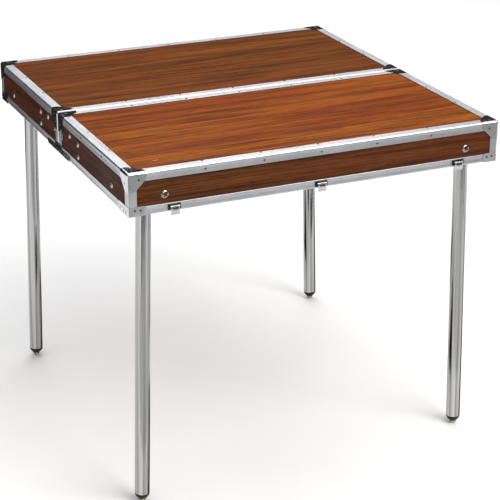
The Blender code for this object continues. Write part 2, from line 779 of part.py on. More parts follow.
def add_legs(assembly, tray, rear, shapes, plug, foot):
    word = "rear" if rear else "front"
    for side, (lane, bracket, place, bolt, tube) in shapes.items():
        corner = f"{word}_{side_word(side, rear)}"
        pivot = lane_place(lane, side)
        assembly.part(f"{corner}_leg_bracket", bracket, "zinc_steel", tray, place)
        assembly.part(f"{corner}_pivot_bolt", bolt, "zinc_steel", tray, pivot)
        joint = assembly.empty(
            f"{corner}_leg_pivot", tray, pivot, (0, -side * LEG_LEAN, 0)
        )
        assembly.part(f"{corner}_leg_tube", tube, "leg_chrome", joint)
        end = (0, 0, -leg_length(lane))
        assembly.part(f"{corner}_leg_plug", plug, "black_plastic", joint, end)
        assembly.part(f"{corner}_levelling_foot", foot, "zinc_steel", joint, end)


def add_catches(assembly, tray):
    base = catch_base_mesh()
    hasp = hasp_mesh()
    for number, x in enumerate((-CATCH_PITCH, 0.0, CATCH_PITCH)):
        word = ("left", "middle", "right")[number]
        assembly.part(f"catch_base_{word}", base, "chrome", tray, (x, WALL_FACE, 0))
        axis = (x, WALL_FACE - CATCH_AXIS_OUT, CATCH_AXIS_HEIGHT)
        assembly.part(f"catch_hasp_{word}", hasp, "chrome", tray, axis)


def add_handle(assembly, tray):
    y, z = handle_axis()
    assembly.part("carry_handle", handle_mesh(), "black_plastic", tray, (0, y, z))


def main():
    clear_scene()
    assembly = Assembly()
    hinge = (0, 0, HINGE_AXIS_Z)
    front = assembly.empty("front_tray_frame", None, hinge)
    rear = assembly.empty("rear_tray_frame", None, hinge, (0, 0, math.pi))
    shapes = shared_tray_shapes()
    legs = leg_shapes()
    plug = plug_mesh()
    foot = foot_mesh()
    for tray, is_rear in ((front, False), (rear, True)):
        add_tray(assembly, tray, is_rear, shapes)
        add_legs(assembly, tray, is_rear, legs, plug, foot)
    assembly.part("hinge_pin", hinge_pin_mesh(), "zinc_steel", front)
    add_catches(assembly, front)
    add_handle(assembly, rear)
    bpy.context.view_layer.update()


main()
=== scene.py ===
"""Looks for the suitcase folding table: wood-grain trays with riveted aluminium trims and chromed legs.

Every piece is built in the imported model's frame, in metres. Tray details are made once, for the front
tray, and turned half a turn about Z for the rear one. In a tray's own terms "in" is the distance from
its outer face, and "down" the distance below the top of its trims.
"""

import json
import random
from math import cos, pi, radians, sin, sqrt

import bmesh
import bpy
from mathutils import Matrix, Quaternion, Vector


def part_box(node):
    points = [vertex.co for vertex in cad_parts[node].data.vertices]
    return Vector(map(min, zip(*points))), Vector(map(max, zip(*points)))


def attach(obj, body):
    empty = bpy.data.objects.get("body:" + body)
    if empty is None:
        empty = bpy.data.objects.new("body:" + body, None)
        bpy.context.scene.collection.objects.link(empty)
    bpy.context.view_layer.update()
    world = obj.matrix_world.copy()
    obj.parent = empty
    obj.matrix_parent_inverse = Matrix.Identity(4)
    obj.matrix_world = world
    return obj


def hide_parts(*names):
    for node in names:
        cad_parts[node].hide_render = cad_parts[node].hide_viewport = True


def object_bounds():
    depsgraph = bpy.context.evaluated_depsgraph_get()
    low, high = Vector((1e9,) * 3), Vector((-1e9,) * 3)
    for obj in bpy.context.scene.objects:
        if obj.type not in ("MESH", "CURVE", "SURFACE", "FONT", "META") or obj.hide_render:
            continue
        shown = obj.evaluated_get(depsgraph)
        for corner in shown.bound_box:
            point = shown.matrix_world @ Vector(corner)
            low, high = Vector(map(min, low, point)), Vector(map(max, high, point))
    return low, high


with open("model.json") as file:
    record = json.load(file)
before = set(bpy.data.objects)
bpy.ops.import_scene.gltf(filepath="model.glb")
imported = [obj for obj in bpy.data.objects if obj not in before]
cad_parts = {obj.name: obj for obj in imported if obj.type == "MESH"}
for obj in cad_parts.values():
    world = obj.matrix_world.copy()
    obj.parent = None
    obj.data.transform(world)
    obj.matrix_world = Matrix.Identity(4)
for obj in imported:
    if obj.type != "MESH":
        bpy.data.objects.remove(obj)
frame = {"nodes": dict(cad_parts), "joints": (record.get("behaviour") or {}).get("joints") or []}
cad_low, cad_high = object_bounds()

# Measures taken from the frame
FRAME_LOW, FRAME_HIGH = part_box("front_top_frame")
RIM_LOW, RIM_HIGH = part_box("front_rim_trim")
TOP = FRAME_HIGH.z
HALF_WIDTH = FRAME_HIGH.x
WALL_FACE = FRAME_LOW.y
SEAM_FACE = FRAME_HIGH.y
RIM = RIM_LOW.z
RIM_TOP = RIM_HIGH.z
PROUD = cad_high.z - TOP
WOOD_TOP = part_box("front_top_panel")[1].z
WOOD_IN = TOP - WOOD_TOP

# Trims
SHEET = 0.0012
ARRIS = 0.0035
CORNER_ROUND = 0.0040
LIP = 0.0003
TOP_LEAF = 0.020
SIDE_LEAF = 0.0175
POST_LEAF = 0.0175
RIM_LEAF = 0.009
BEAD = 0.0010
# Width and height of the dark strips of painted shadow beside the trims, and their round
SHADOW_GAP_SIZE = (0.0011, 0.0006)
SHADOW_GAP_ROUND = 0.0002
NOTCH = (0.0045, 0.0024)

# Rivets and screws
RIVET_RADIUS = 0.0024
RIVET_HEIGHT = 0.0009
CAP_RIVET_RADIUS = 0.0022
CAP_RIVET_HEIGHT = 0.0003
LONG_RIVET_PITCH = 0.122
END_RIVETS = (0.145, 0.266)
RIVET_IN = 0.0165
RIVET_DOWN = 0.0105
SCREW_RADIUS = 0.0078
SCREW_HEIGHT = 0.0024
WALL_SCREW = (0.326, 0.050)
END_SCREWS = ((0.317, 0.050), (0.121, 0.030), (0.121, 0.056), (0.070, 0.027))

# Corner fittings
CAP_LOW = 0.0003
CAP_LAP = 0.0007
CAP_HIGH = 0.0010
CAP_BLANK = 0.080
CAP_ROUND = 0.0050
CAP_REACH = 0.0385
CAP_GUSSET = 0.049
CAP_RIVET_NEAR = 0.0135
CAP_RIVET_FAR = 0.0215
FOOT_CORNER_UP = 0.019
FOOT_CORNER_STEP = 0.0112
FOOT_CORNER_LONG = 0.034
FOOT_CORNER_END = 0.050
SEAM_CORNER_END = 0.072
SEAM_CORNER_TALL = 0.021
FOOT_CORNER_TIP = 0.004

# Colours, linear
WOOD_TOP_TONES = ((0.072, 0.014, 0.0020), (0.182, 0.042, 0.0030), (0.335, 0.094, 0.0060))
WOOD_REAR_TONES = ((0.046, 0.012, 0.0020), (0.122, 0.033, 0.0030), (0.222, 0.064, 0.0060))
# Walls and ends: darker copies of the same laminate's tones, painted shade for the less lit sides
WOOD_SIDE_SHADED_TONES = ((0.045, 0.016, 0.0060), (0.082, 0.027, 0.0090), (0.120, 0.042, 0.0135))
WOOD_END_SHADED_TONES = ((0.030, 0.010, 0.0060), (0.066, 0.020, 0.0100), (0.125, 0.038, 0.0170))

SCRATCH_COLOUR = (0.52, 0.30, 0.17)
SCRATCH_SIZE = (0.012, 0.0022, 0.02)
SCRATCH_TURN = (0, 0, 0.16)

# The camera, fitted to the photograph's perspective
CAMERA_PLACE = Vector((-1.3846, -3.1319, 1.7495))
CAMERA_YAW = 0.4253
CAMERA_PITCH = 0.39065
CAMERA_ROLL = 0.0034
CAMERA_LENS = 119.9
SENSOR_WIDTH = 36.0

SHARP = radians(35)
WELD = 0.000002
SUNK = 0.0002
HALF_TURN = Matrix.Rotation(pi, 4, "Z")
TRAY_TURNS = (("front", Matrix.Identity(4)), ("rear", HALF_TURN))


# Mesh helpers


def new_object(name, data):
    obj = bpy.data.objects.new(name, data)
    bpy.context.scene.collection.objects.link(obj)
    return obj


def mesh_from(bm, name="mesh"):
    mesh = bpy.data.meshes.new(name)
    bm.normal_update()
    bm.to_mesh(mesh)
    bm.free()
    return mesh


def smooth(mesh):
    mesh.shade_smooth()
    mesh.set_sharp_from_angle(angle=SHARP)
    return mesh


def piece(name, mesh, materials, body, replaces=(), matrix=None):
    """A finished piece that rides on a body and may stand for CAD nodes."""
    obj = new_object(name, mesh)
    if matrix is not None:
        obj.matrix_world = matrix
    for material in materials:
        mesh.materials.append(material)
    flats = obj.modifiers.new("flat_shading", "WEIGHTED_NORMAL")
    flats.keep_sharp = True
    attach(obj, body)
    if replaces:
        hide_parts(*replaces)
    return obj


def joined(meshes):
    """One mesh from several; material indices are kept."""
    bm = bmesh.new()
    for mesh in meshes:
        bm.from_mesh(mesh)
    return mesh_from(bm, "joined")


def moved(mesh, matrix):
    """A transformed copy, turned right side out again where the matrix mirrors it."""
    bm = bmesh.new()
    bm.from_mesh(mesh)
    bm.transform(matrix)
    if matrix.determinant() < 0:
        bmesh.ops.reverse_faces(bm, faces=bm.faces)
    return mesh_from(bm, mesh.name)


def boolean(mesh, tools, operation="DIFFERENCE"):
    base = new_object("base", mesh)
    cutters = [new_object("tool", tool) for tool in tools]
    for cutter in cutters:
        modifier = base.modifiers.new("boolean", "BOOLEAN")
        modifier.operation = operation
        modifier.solver = "EXACT"
        modifier.object = cutter
    return baked(base, cutters)


def baked(obj, extra=()):
    bpy.context.view_layer.update()
    evaluated = obj.evaluated_get(bpy.context.evaluated_depsgraph_get())
    mesh = bpy.data.meshes.new_from_object(evaluated)
    for used in (obj, *extra):
        bpy.data.objects.remove(used, do_unlink=True)
    bm = bmesh.new()
    bm.from_mesh(mesh)
    bmesh.ops.remove_doubles(bm, verts=bm.verts, dist=WELD)
    bm.to_mesh(mesh)
    bm.free()
    return mesh


def softened(mesh, width, segments=2, angle=radians(30)):
    """Breaks the sharp edges of a mesh with a small round."""
    obj = new_object("soft", mesh)
    bevel = obj.modifiers.new("bevel", "BEVEL")
    bevel.width = width
    bevel.segments = segments
    bevel.limit_method = "ANGLE"
    bevel.angle_limit = angle
    return baked(obj)


def bevelled(bm, edges, width, segments):
    bmesh.ops.bevel(bm, geom=edges, offset=width, segments=segments, profile=0.5, affect="EDGES")


def block(low, high, bevel=0.0, segments=3):
    """A box with all its edges rounded."""
    low, high = Vector(low), Vector(high)
    bm = bmesh.new()
    bmesh.ops.create_cube(bm, size=1.0)
    bmesh.ops.scale(bm, vec=high - low, verts=bm.verts)
    bmesh.ops.translate(bm, vec=(low + high) / 2, verts=bm.verts)
    if bevel:
        bevelled(bm, bm.edges[:], bevel, segments)
    return mesh_from(bm, "block")


def lathe(profile, sides=48):
    """A solid turned about Z from (radius, height) points, from its top axis point down."""
    bm = bmesh.new()
    rings = []
    turns = [2 * pi * step / sides for step in range(sides)]
    for radius, height in profile:
        spots = [(radius * cos(turn), radius * sin(turn)) for turn in turns] if radius else [(0, 0)]
        rings.append([bm.verts.new((*spot, height)) for spot in spots])
    pairs = list(zip(rings, rings[1:]))
    if len(rings[0]) > 1:
        pairs.append((rings[-1], rings[0]))
    for upper, lower in pairs:
        for i in range(sides):
            j = (i + 1) % sides
            low, high = len(lower), len(upper)
            corners = (upper[i % high], lower[i % low], lower[j % low], upper[j % high])
            unique = list(dict.fromkeys(corners))
            if len(unique) > 2:
                bm.faces.new(unique)
    bmesh.ops.recalc_face_normals(bm, faces=bm.faces)
    return mesh_from(bm, "lathe")


def bar(radius, high, low, sides):
    """A plain round bar along Z, for pins and drills."""
    return lathe([(0.0, high), (radius, high), (radius, low), (0.0, low)], sides)


def arc(centre, radius, start, end, steps):
    """Points on an arc in a plane; angles in degrees."""
    points = []
    for step in range(steps + 1):
        angle = radians(start + (end - start) * step / steps)
        points.append((centre[0] + radius * cos(angle), centre[1] + radius * sin(angle)))
    return points


def prism(outline, low, high):
    """An outline in XY carried from low to high along Z, with capped ends."""
    bm = bmesh.new()
    bottom = [bm.verts.new((x, y, low)) for x, y in outline]
    top = [bm.verts.new((x, y, high)) for x, y in outline]
    bm.faces.new(list(reversed(bottom)))
    bm.faces.new(top)
    for i in range(len(outline)):
        j = (i + 1) % len(outline)
        bm.faces.new((bottom[i], bottom[j], top[j], top[i]))
    bmesh.ops.recalc_face_normals(bm, faces=bm.faces)
    return mesh_from(bm, "prism")


def refined(node_name, width, segments=2):
    """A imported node's own shape with its flats merged and its edges broken."""
    bm = bmesh.new()
    bm.from_mesh(frame["nodes"][node_name].data)
    bmesh.ops.remove_doubles(bm, verts=bm.verts, dist=0.000005)
    bmesh.ops.dissolve_limit(bm, angle_limit=radians(1), verts=bm.verts, edges=bm.edges)
    return smooth(softened(mesh_from(bm), width, segments))


def rounded_rectangle(half_width, half_height, radius, centre=(0.0, 0.0), steps=5):
    points = []
    for index, (sx, sy) in enumerate(((1, 1), (-1, 1), (-1, -1), (1, -1))):
        middle = (centre[0] + sx * (half_width - radius), centre[1] + sy * (half_height - radius))
        points += arc(middle, radius, 90 * index, 90 * index + 90, steps)
    return points


def sheet_section(path, thickness):
    """The closed outline of a sheet that follows a path."""
    left, right = [], []
    for index, point in enumerate(path):
        before = Vector(path[max(index - 1, 0)])
        after = Vector(path[min(index + 1, len(path) - 1)])
        along = (after - before).normalized()
        across = Vector((-along.y, along.x)) * thickness / 2
        left.append(tuple(Vector(point) + across))
        right.append(tuple(Vector(point) - across))
    return left + right[::-1]


def rounded_corner(corner, before, after, radius, steps=6):
    """Points on an arc that turns from one square run into the next."""
    corner, before, after = Vector(corner), Vector(before), Vector(after)
    centre = corner + (before + after) * radius
    points = []
    for step in range(steps + 1):
        angle = pi / 2 * step / steps
        points.append(centre - after * radius * cos(angle) - before * radius * sin(angle))
    return points


def rod_through(points, radius, resolution=4):
    """A round wire through points."""
    curve = bpy.data.curves.new("wire", "CURVE")
    curve.dimensions = "3D"
    curve.bevel_depth = radius
    curve.bevel_resolution = resolution
    curve.use_fill_caps = True
    spline = curve.splines.new("POLY")
    spline.points.add(len(points) - 1)
    for point, place in zip(spline.points, points):
        point.co = (*place, 1.0)
    return baked(new_object("wire", curve))


def facing(place, normal, spin=0.0):
    """A matrix that stands a piece, made up along +Z, on a face with that normal."""
    turn = Vector(normal).to_track_quat("Z", "Y") @ Quaternion((0, 0, 1), spin)
    return Matrix.Translation(Vector(place)) @ turn.to_matrix().to_4x4()


# Materials


def node(tree, kind, inputs=None, **settings):
    made = tree.nodes.new(kind)
    for key, value in settings.items():
        setattr(made, key, value)
    for key, value in (inputs or {}).items():
        if isinstance(value, bpy.types.NodeSocket):
            tree.links.new(value, made.inputs[key])
        else:
            made.inputs[key].default_value = value
    return made


def new_material(name, metallic=0.0, roughness=0.4):
    material = bpy.data.materials.new(name)
    material.use_nodes = True
    shader = material.node_tree.nodes["Principled BSDF"]
    shader.inputs["Metallic"].default_value = metallic
    shader.inputs["Roughness"].default_value = roughness
    return material, material.node_tree, shader


def stretched(tree, scale, quarter_turn, seed):
    """Object coordinates stretched so that a noise read from them runs along one direction."""
    coords = node(tree, "ShaderNodeTexCoord").outputs["Object"]
    turn = (0, 0, pi / 2 if quarter_turn else 0)
    inputs = {"Vector": coords, "Rotation": turn, "Location": seed}
    turned = node(tree, "ShaderNodeMapping", inputs).outputs[0]
    return node(tree, "ShaderNodeMapping", {"Vector": turned, "Scale": scale}).outputs[0]


def noise(tree, scale, detail, rough, quarter_turn=False, seed=(0, 0, 0)):
    """Noise stretched by a scale per axis, or by one number all round."""
    scale = (scale,) * 3 if isinstance(scale, (int, float)) else scale
    vector = stretched(tree, scale, quarter_turn, seed)
    inputs = {"Vector": vector, "Scale": 1.0, "Detail": detail, "Roughness": rough}
    return node(tree, "ShaderNodeTexNoise", inputs).outputs["Fac"]


def ramp(tree, factor, stops):
    made = node(tree, "ShaderNodeValToRGB", {"Fac": factor})
    elements = made.color_ramp.elements
    while len(elements) < len(stops):
        elements.new(0.5)
    for element, (position, colour) in zip(elements, stops):
        element.position = position
        if isinstance(colour, (int, float)):
            colour = (colour,) * 3
        element.color = (*colour, 1.0)
    return made.outputs["Color"]


def maths(tree, operation, first, second, third=None):
    inputs = {0: first, 1: second}
    if third is not None:
        inputs[2] = third
    return node(tree, "ShaderNodeMath", inputs, operation=operation).outputs[0]


def mixed(tree, factor, first, second, blend="MIX"):
    made = node(tree, "ShaderNodeMix", data_type="RGBA", blend_type=blend)
    for index, value in ((0, factor), (6, first), (7, second)):
        if isinstance(value, bpy.types.NodeSocket):
            tree.links.new(value, made.inputs[index])
        elif index:
            made.inputs[index].default_value = (*value, 1.0)
        else:
            made.inputs[index].default_value = value
    return made.outputs[2]


def bumped(tree, shader, height, strength, distance):
    inputs = {"Height": height, "Strength": strength, "Distance": distance}
    bump = node(tree, "ShaderNodeBump", inputs)
    tree.links.new(bump.outputs["Normal"], shader.inputs["Normal"])


def fed(tree, shader, colour, spread=None):
    """Links a colour, and where given a roughness, to the shader."""
    tree.links.new(colour, shader.inputs["Base Color"])
    if spread is not None:
        tree.links.new(spread, shader.inputs["Roughness"])


def scratch_mark(tree, centre):
    """A short pale scuff lying nearly along the grain."""
    coords = node(tree, "ShaderNodeTexCoord").outputs["Object"]
    inputs = {"Vector": coords, "Location": centre, "Rotation": SCRATCH_TURN, "Scale": SCRATCH_SIZE}
    placed = node(tree, "ShaderNodeMapping", inputs, vector_type="TEXTURE").outputs[0]
    inputs = {"Vector": placed}
    spot = node(tree, "ShaderNodeTexGradient", inputs, gradient_type="SPHERICAL").outputs["Fac"]
    rough = noise(tree, (300, 900, 300), 2.0, 0.6)
    broken = maths(tree, "MULTIPLY", spot, maths(tree, "MULTIPLY", rough, 3.0))
    return ramp(tree, broken, ((0.25, 0.0), (0.75, 0.85)))


def laminate(name, tones, quarter_turn=False, seed=(0, 0, 0), scratch=None):
    """Satin wood-grain laminate: broad figure, fine streaks, dark pores and rubbed gloss."""
    material, tree, shader = new_material(name)
    shader.inputs["Specular IOR Level"].default_value = 0.03
    dark, middle, light = tones
    lie = (quarter_turn, seed)
    figure = noise(tree, (2.0, 44, 44), 3.0, 0.5, *lie)
    streak = noise(tree, (5.0, 260, 260), 3.0, 0.6, *lie)
    fibre = noise(tree, (16, 700, 700), 2.0, 0.6, *lie)
    grain = maths(tree, "MULTIPLY_ADD", figure, 0.30, maths(tree, "MULTIPLY", streak, 0.50))
    grain = maths(tree, "MULTIPLY_ADD", fibre, 0.20, grain)
    colour = ramp(tree, grain, ((0.42, dark), (0.485, middle), (0.56, light)))
    patch = noise(tree, (1.2, 5, 5), 2.0, 0.5, *lie)
    redder = tuple(c * k for c, k in zip(middle, (1.25, 0.72, 0.75)))
    colour = mixed(tree, ramp(tree, patch, ((0.42, 0.0), (0.72, 0.55))), colour, redder)
    pore = noise(tree, (30, 1500, 1500), 1.0, 0.5, *lie)
    pore = ramp(tree, pore, ((0.58, 0.0), (0.69, 0.85)))
    colour = mixed(tree, pore, colour, tuple(c * 0.45 for c in dark))
    if scratch:
        colour = mixed(tree, scratch_mark(tree, scratch), colour, SCRATCH_COLOUR)
    rubbed = noise(tree, (6, 9, 9), 3.0, 0.6, *lie)
    fed(tree, shader, colour, ramp(tree, rubbed, ((0.3, 0.36), (0.75, 0.52))))
    relief = maths(tree, "MULTIPLY_ADD", fibre, 0.6, maths(tree, "MULTIPLY", streak, 0.4))
    bumped(tree, shader, relief, 0.22, 0.0003)
    return material


def drawn_metal(name, colour, roughness, direction, depth=0.25):
    """Satin extrusion: draw lines along one direction, cloudy dulling and a few scratches."""
    material, tree, shader = new_material(name, 1.0, roughness)
    along = [900.0, 900.0, 900.0]
    along[direction] = 6.0
    lines = noise(tree, along, 2.0, 0.6)
    clouds = noise(tree, 14, 4.0, 0.6)
    dull = tuple(c * 0.80 for c in colour)
    tone = mixed(tree, ramp(tree, clouds, ((0.35, 0.0), (0.70, 0.8))), colour, dull)
    scratch_scale = [300.0, 300.0, 300.0]
    scratch_scale[(direction + 1) % 3] = 24.0
    scratch = noise(tree, scratch_scale, 1.0, 0.5)
    scratch = ramp(tree, scratch, ((0.70, 0.0), (0.76, 0.6)))
    tone = mixed(tree, scratch, tone, tuple(c * 0.6 for c in colour))
    spread = ramp(tree, lines, ((0.3, roughness - 0.07), (0.7, roughness + 0.09)))
    fed(tree, shader, tone, spread)
    bumped(tree, shader, lines, depth, 0.0001)
    return material


def polished_chrome(name, colour, roughness, wave=0.08):
    """Plated sheet: a clean mirror with faint waves from pressing, and finger smudges."""
    material, tree, shader = new_material(name, 1.0, roughness)
    smudge = noise(tree, 70, 5.0, 0.65)
    spread = ramp(tree, smudge, ((0.40, roughness), (0.72, roughness + 0.14)))
    stain = noise(tree, 220, 3.0, 0.6)
    stained = tuple(c * 0.7 for c in colour)
    tone = mixed(tree, ramp(tree, stain, ((0.55, 0.0), (0.75, 0.6))), colour, stained)
    fed(tree, shader, tone, spread)
    waves = noise(tree, 120, 1.0, 0.4)
    bumped(tree, shader, waves, wave, 0.0002)
    return material


def chromed_tube(name):
    """Plated tube: painted dark reflection streaks and thin painted dark lines along it, polishing lines
    in its bumps, and smudged roughness.
    """
    material, tree, shader = new_material(name, 1.0, 0.12)
    painted_reflection_band = noise(tree, (130, 130, 0.5), 2.0, 0.5)
    polish_and_painted_streak = noise(tree, (520, 520, 1.0), 1.0, 0.5)
    # Painted reflection: dark streaks and thin dark lines in the colour along the tube stand in for dark
    # reflections; the lines' bump is real polishing.
    tone = ramp(tree, painted_reflection_band, ((0.36, (0.30, 0.30, 0.295)), (0.50, 0.50), (0.62, (0.66, 0.66, 0.65))))
    tone = mixed(tree, ramp(tree, polish_and_painted_streak, ((0.60, 0.0), (0.68, 0.75))), tone, (0.16, 0.155, 0.15))
    smudge = noise(tree, (60, 60, 14), 4.0, 0.6)
    fed(tree, shader, tone, ramp(tree, smudge, ((0.35, 0.10), (0.75, 0.26))))
    bumped(tree, shader, polish_and_painted_streak, 0.12, 0.0001)
    return material


def zinc_plate(name, colour):
    """Zinc-plated steel: crystalline dulling with warm and cool patches."""
    material, tree, shader = new_material(name, 1.0, 0.36)
    patch = noise(tree, 45, 4.0, 0.65)
    warm = tuple(c * k for c, k in zip(colour, (1.08, 1.02, 0.86)))
    cool = tuple(c * k for c, k in zip(colour, (0.86, 0.92, 1.0)))
    tone = ramp(tree, patch, ((0.35, cool), (0.68, warm)))
    fed(tree, shader, tone, ramp(tree, patch, ((0.3, 0.28), (0.7, 0.46))))
    speck = noise(tree, 700, 2.0, 0.6)
    bumped(tree, shader, speck, 0.18, 0.0001)
    return material


def moulded_plastic(name, colour):
    """Black moulded plastic with a fine spark-eroded grain and scuffs."""
    material, tree, shader = new_material(name, 0.0, 0.42)
    shader.inputs["Specular IOR Level"].default_value = 0.25
    scuff = noise(tree, (90, 90, 300), 4.0, 0.65)
    scuffed = tuple(c * 3.2 for c in colour)
    tone = mixed(tree, ramp(tree, scuff, ((0.62, 0.0), (0.78, 0.7))), colour, scuffed)
    fed(tree, shader, tone, ramp(tree, scuff, ((0.3, 0.34), (0.7, 0.55))))
    grain = noise(tree, 2400, 1.0, 0.5)
    bumped(tree, shader, grain, 0.2, 0.0001)
    return material


def floor_finish(name):
    """Plain pale studio paper."""
    material, tree, shader = new_material(name, 0.0, 0.85)
    mottle = noise(tree, 3, 3.0, 0.5)
    fed(tree, shader, ramp(tree, mottle, ((0.3, 0.93), (0.7, 0.96))))
    return material


def flag_finish(name, tone):
    material, _, shader = new_material(name, 0.0, 0.9)
    shader.inputs["Base Color"].default_value = (tone, tone, tone, 1.0)
    return material


WOOD = laminate(
    "laminate_top", WOOD_TOP_TONES, scratch=(0.078 - HALF_WIDTH, 0.059 + WALL_FACE, WOOD_TOP)
)
WOOD_REAR = laminate("laminate_top_rear", WOOD_REAR_TONES, seed=(3.7, 1.9, 0.0))
# Wall and end laminates are darker copies of the top's: painted shade
WOOD_SIDE_SHADED = laminate("laminate_side_painted_shade", WOOD_SIDE_SHADED_TONES, seed=(9.1, 0.0, 2.0))
WOOD_END_SHADED = laminate("laminate_end", WOOD_END_SHADED_TONES, True, (5.3, 2.2, 0.0))
TRIM_COLOUR = (0.68, 0.69, 0.72)
TRIM_X = drawn_metal("trim_along_x", TRIM_COLOUR, 0.36, 0)
TRIM_Y = drawn_metal("trim_along_y", TRIM_COLOUR, 0.36, 1)
TRIM_Z = drawn_metal("trim_along_z", TRIM_COLOUR, 0.36, 2)
CHROME = polished_chrome("corner_chrome", (0.66, 0.67, 0.68), 0.06)
TUBE_CHROME = chromed_tube("tube_chrome")
RIVET = polished_chrome("rivet_steel", (0.16, 0.15, 0.15), 0.22, 0.1)
SCREW = polished_chrome("screw_steel", (0.44, 0.415, 0.35), 0.14, 0.1)
DARK_STEEL = polished_chrome("blued_steel", (0.085, 0.085, 0.09), 0.18, 0.1)
# Near-black painted shade for rivet holes, screw slots and the strips beside the trims, made with the
# plastic finish.
RECESS_PAINTED_SHADE = moulded_plastic("recess_painted_shade", (0.010, 0.009, 0.008))
ZINC = zinc_plate("zinc_plate", (0.56, 0.56, 0.55))
BLACK = moulded_plastic("black_plastic", (0.008, 0.008, 0.0085))


# Tray details, each as a mesh for the front tray


def angle_profile(side, leaf):
    """The section of an angle trim: (in, down) points round a closed outline, rounded at the arris."""
    inner = ARRIS - SHEET
    points = [(SHEET, side - LIP), (SHEET - LIP, side), (LIP, side), (0, side - LIP)]
    points += [(0, side - 5 * BEAD), (LIP, side - 6 * BEAD), (LIP, ARRIS + 3 * BEAD)]
    points += [(0, ARRIS + 2 * BEAD)]
    points += arc((ARRIS, ARRIS), ARRIS, 180, 270, 6)
    points += [(leaf - LIP, 0), (leaf, LIP), (leaf, SHEET - LIP), (leaf - LIP, SHEET)]
    points += arc((ARRIS, ARRIS), inner, 270, 180, 4)
    return points


def trim_loop(profile, level, upwards):
    """Carries an angle section round the tray's rectangle, with rounded corners and mitred leaves."""
    corners = (
        (HALF_WIDTH, SEAM_FACE, 1, 1),
        (-HALF_WIDTH, SEAM_FACE, -1, 1),
        (-HALF_WIDTH, WALL_FACE, -1, -1),
        (HALF_WIDTH, WALL_FACE, 1, -1),
    )
    radius, steps = CORNER_ROUND, 5
    stations = []
    for index, (x, y, sx, sy) in enumerate(corners):
        centre = Vector((x - sx * radius, y - sy * radius, 0))
        for step in range(steps + 1):
            angle = radians(90 * index + 90 * step / steps)
            stations.append((centre, Vector((cos(angle), sin(angle), 0)), (sx, sy)))
    bm = bmesh.new()
    rings = []
    for centre, outwards, (sx, sy) in stations:
        ring = []
        for inset, depth in profile:
            if inset < radius:
                place = centre + outwards * (radius - inset)
            else:
                place = centre - Vector((sx, sy, 0)) * (inset - radius)
            ring.append(bm.verts.new((place.x, place.y, level + (depth if upwards else -depth))))
        rings.append(ring)
    count = len(profile)
    for index, ring in enumerate(rings):
        following = rings[(index + 1) % len(rings)]
        run = (index // (steps + 1)) % 2
        for i in range(count):
            j = (i + 1) % count
            face = bm.faces.new((ring[i], ring[j], following[j], following[i]))
            face.material_index = run
    bmesh.ops.remove_doubles(bm, verts=bm.verts, dist=WELD)
    bmesh.ops.recalc_face_normals(bm, faces=bm.faces)
    return mesh_from(bm, "trim_loop")


def corner_posts():
    """Four upright angles between the top trim and the rim trim."""
    outline = [(POST_LEAF - LIP, 0), (POST_LEAF, LIP), (POST_LEAF, SHEET - LIP)]
    outline += [(POST_LEAF - LIP, SHEET)]
    outline += arc((CORNER_ROUND, CORNER_ROUND), CORNER_ROUND - SHEET, 270, 180, 5)
    outline += [(SHEET, POST_LEAF - LIP), (SHEET - LIP, POST_LEAF), (LIP, POST_LEAF)]
    outline += [(0, POST_LEAF - LIP)]
    outline += arc((CORNER_ROUND, CORNER_ROUND), CORNER_ROUND, 180, 270, 6)
    post = prism(outline, RIM_TOP + LIP, TOP - SIDE_LEAF - LIP / 2)
    return joined([moved(post, place) for place in corner_places()])


def corner_places():
    """Matrices from a corner's own frame (in, in, up) to the four corners of the front tray."""
    places = []
    for sx in (-1, 1):
        for y, sy in ((WALL_FACE, -1), (SEAM_FACE, 1)):
            corner = Matrix.Translation((sx * HALF_WIDTH, y, 0))
            places.append(corner @ Matrix.Diagonal((-sx, -sy, 1, 1)))
    return places


def corner_place(side, at_wall):
    return corner_places()[(0 if side < 0 else 2) + (0 if at_wall else 1)]


def cap_mesh(at_wall):
    """A pressed corner cap in its corner's frame, with its top at the tray's top."""
    far = CAP_BLANK
    outer = block((-CAP_HIGH, -CAP_HIGH, -far), (far, far, CAP_HIGH), CAP_ROUND, 6)
    inner = block(
        (-CAP_LOW, -CAP_LOW, -far - far), (far + far, far + far, CAP_LOW), CAP_ROUND - CAP_LAP, 6
    )
    shell = boolean(outer, [inner])
    ball = bmesh.new()
    bmesh.ops.create_icosphere(ball, subdivisions=5, radius=CAP_REACH)
    inwards = Vector((1, 1, -1)).normalized()
    knife = block((-far * 2, -far * 2, -far * 2), (far * 2, far * 2, CAP_GUSSET / sqrt(3)))
    knife.transform(inwards.to_track_quat("Z", "Y").to_matrix().to_4x4())
    cap = boolean(shell, [mesh_from(ball), knife], "INTERSECT")
    if not at_wall:
        cap = boolean(cap, [block((-far, -far, -far), (far, 0.0002, far))])
    cap = smooth(softened(cap, 0.00018, 2, radians(50)))
    return moved(cap, Matrix.Translation((0, 0, TOP)))


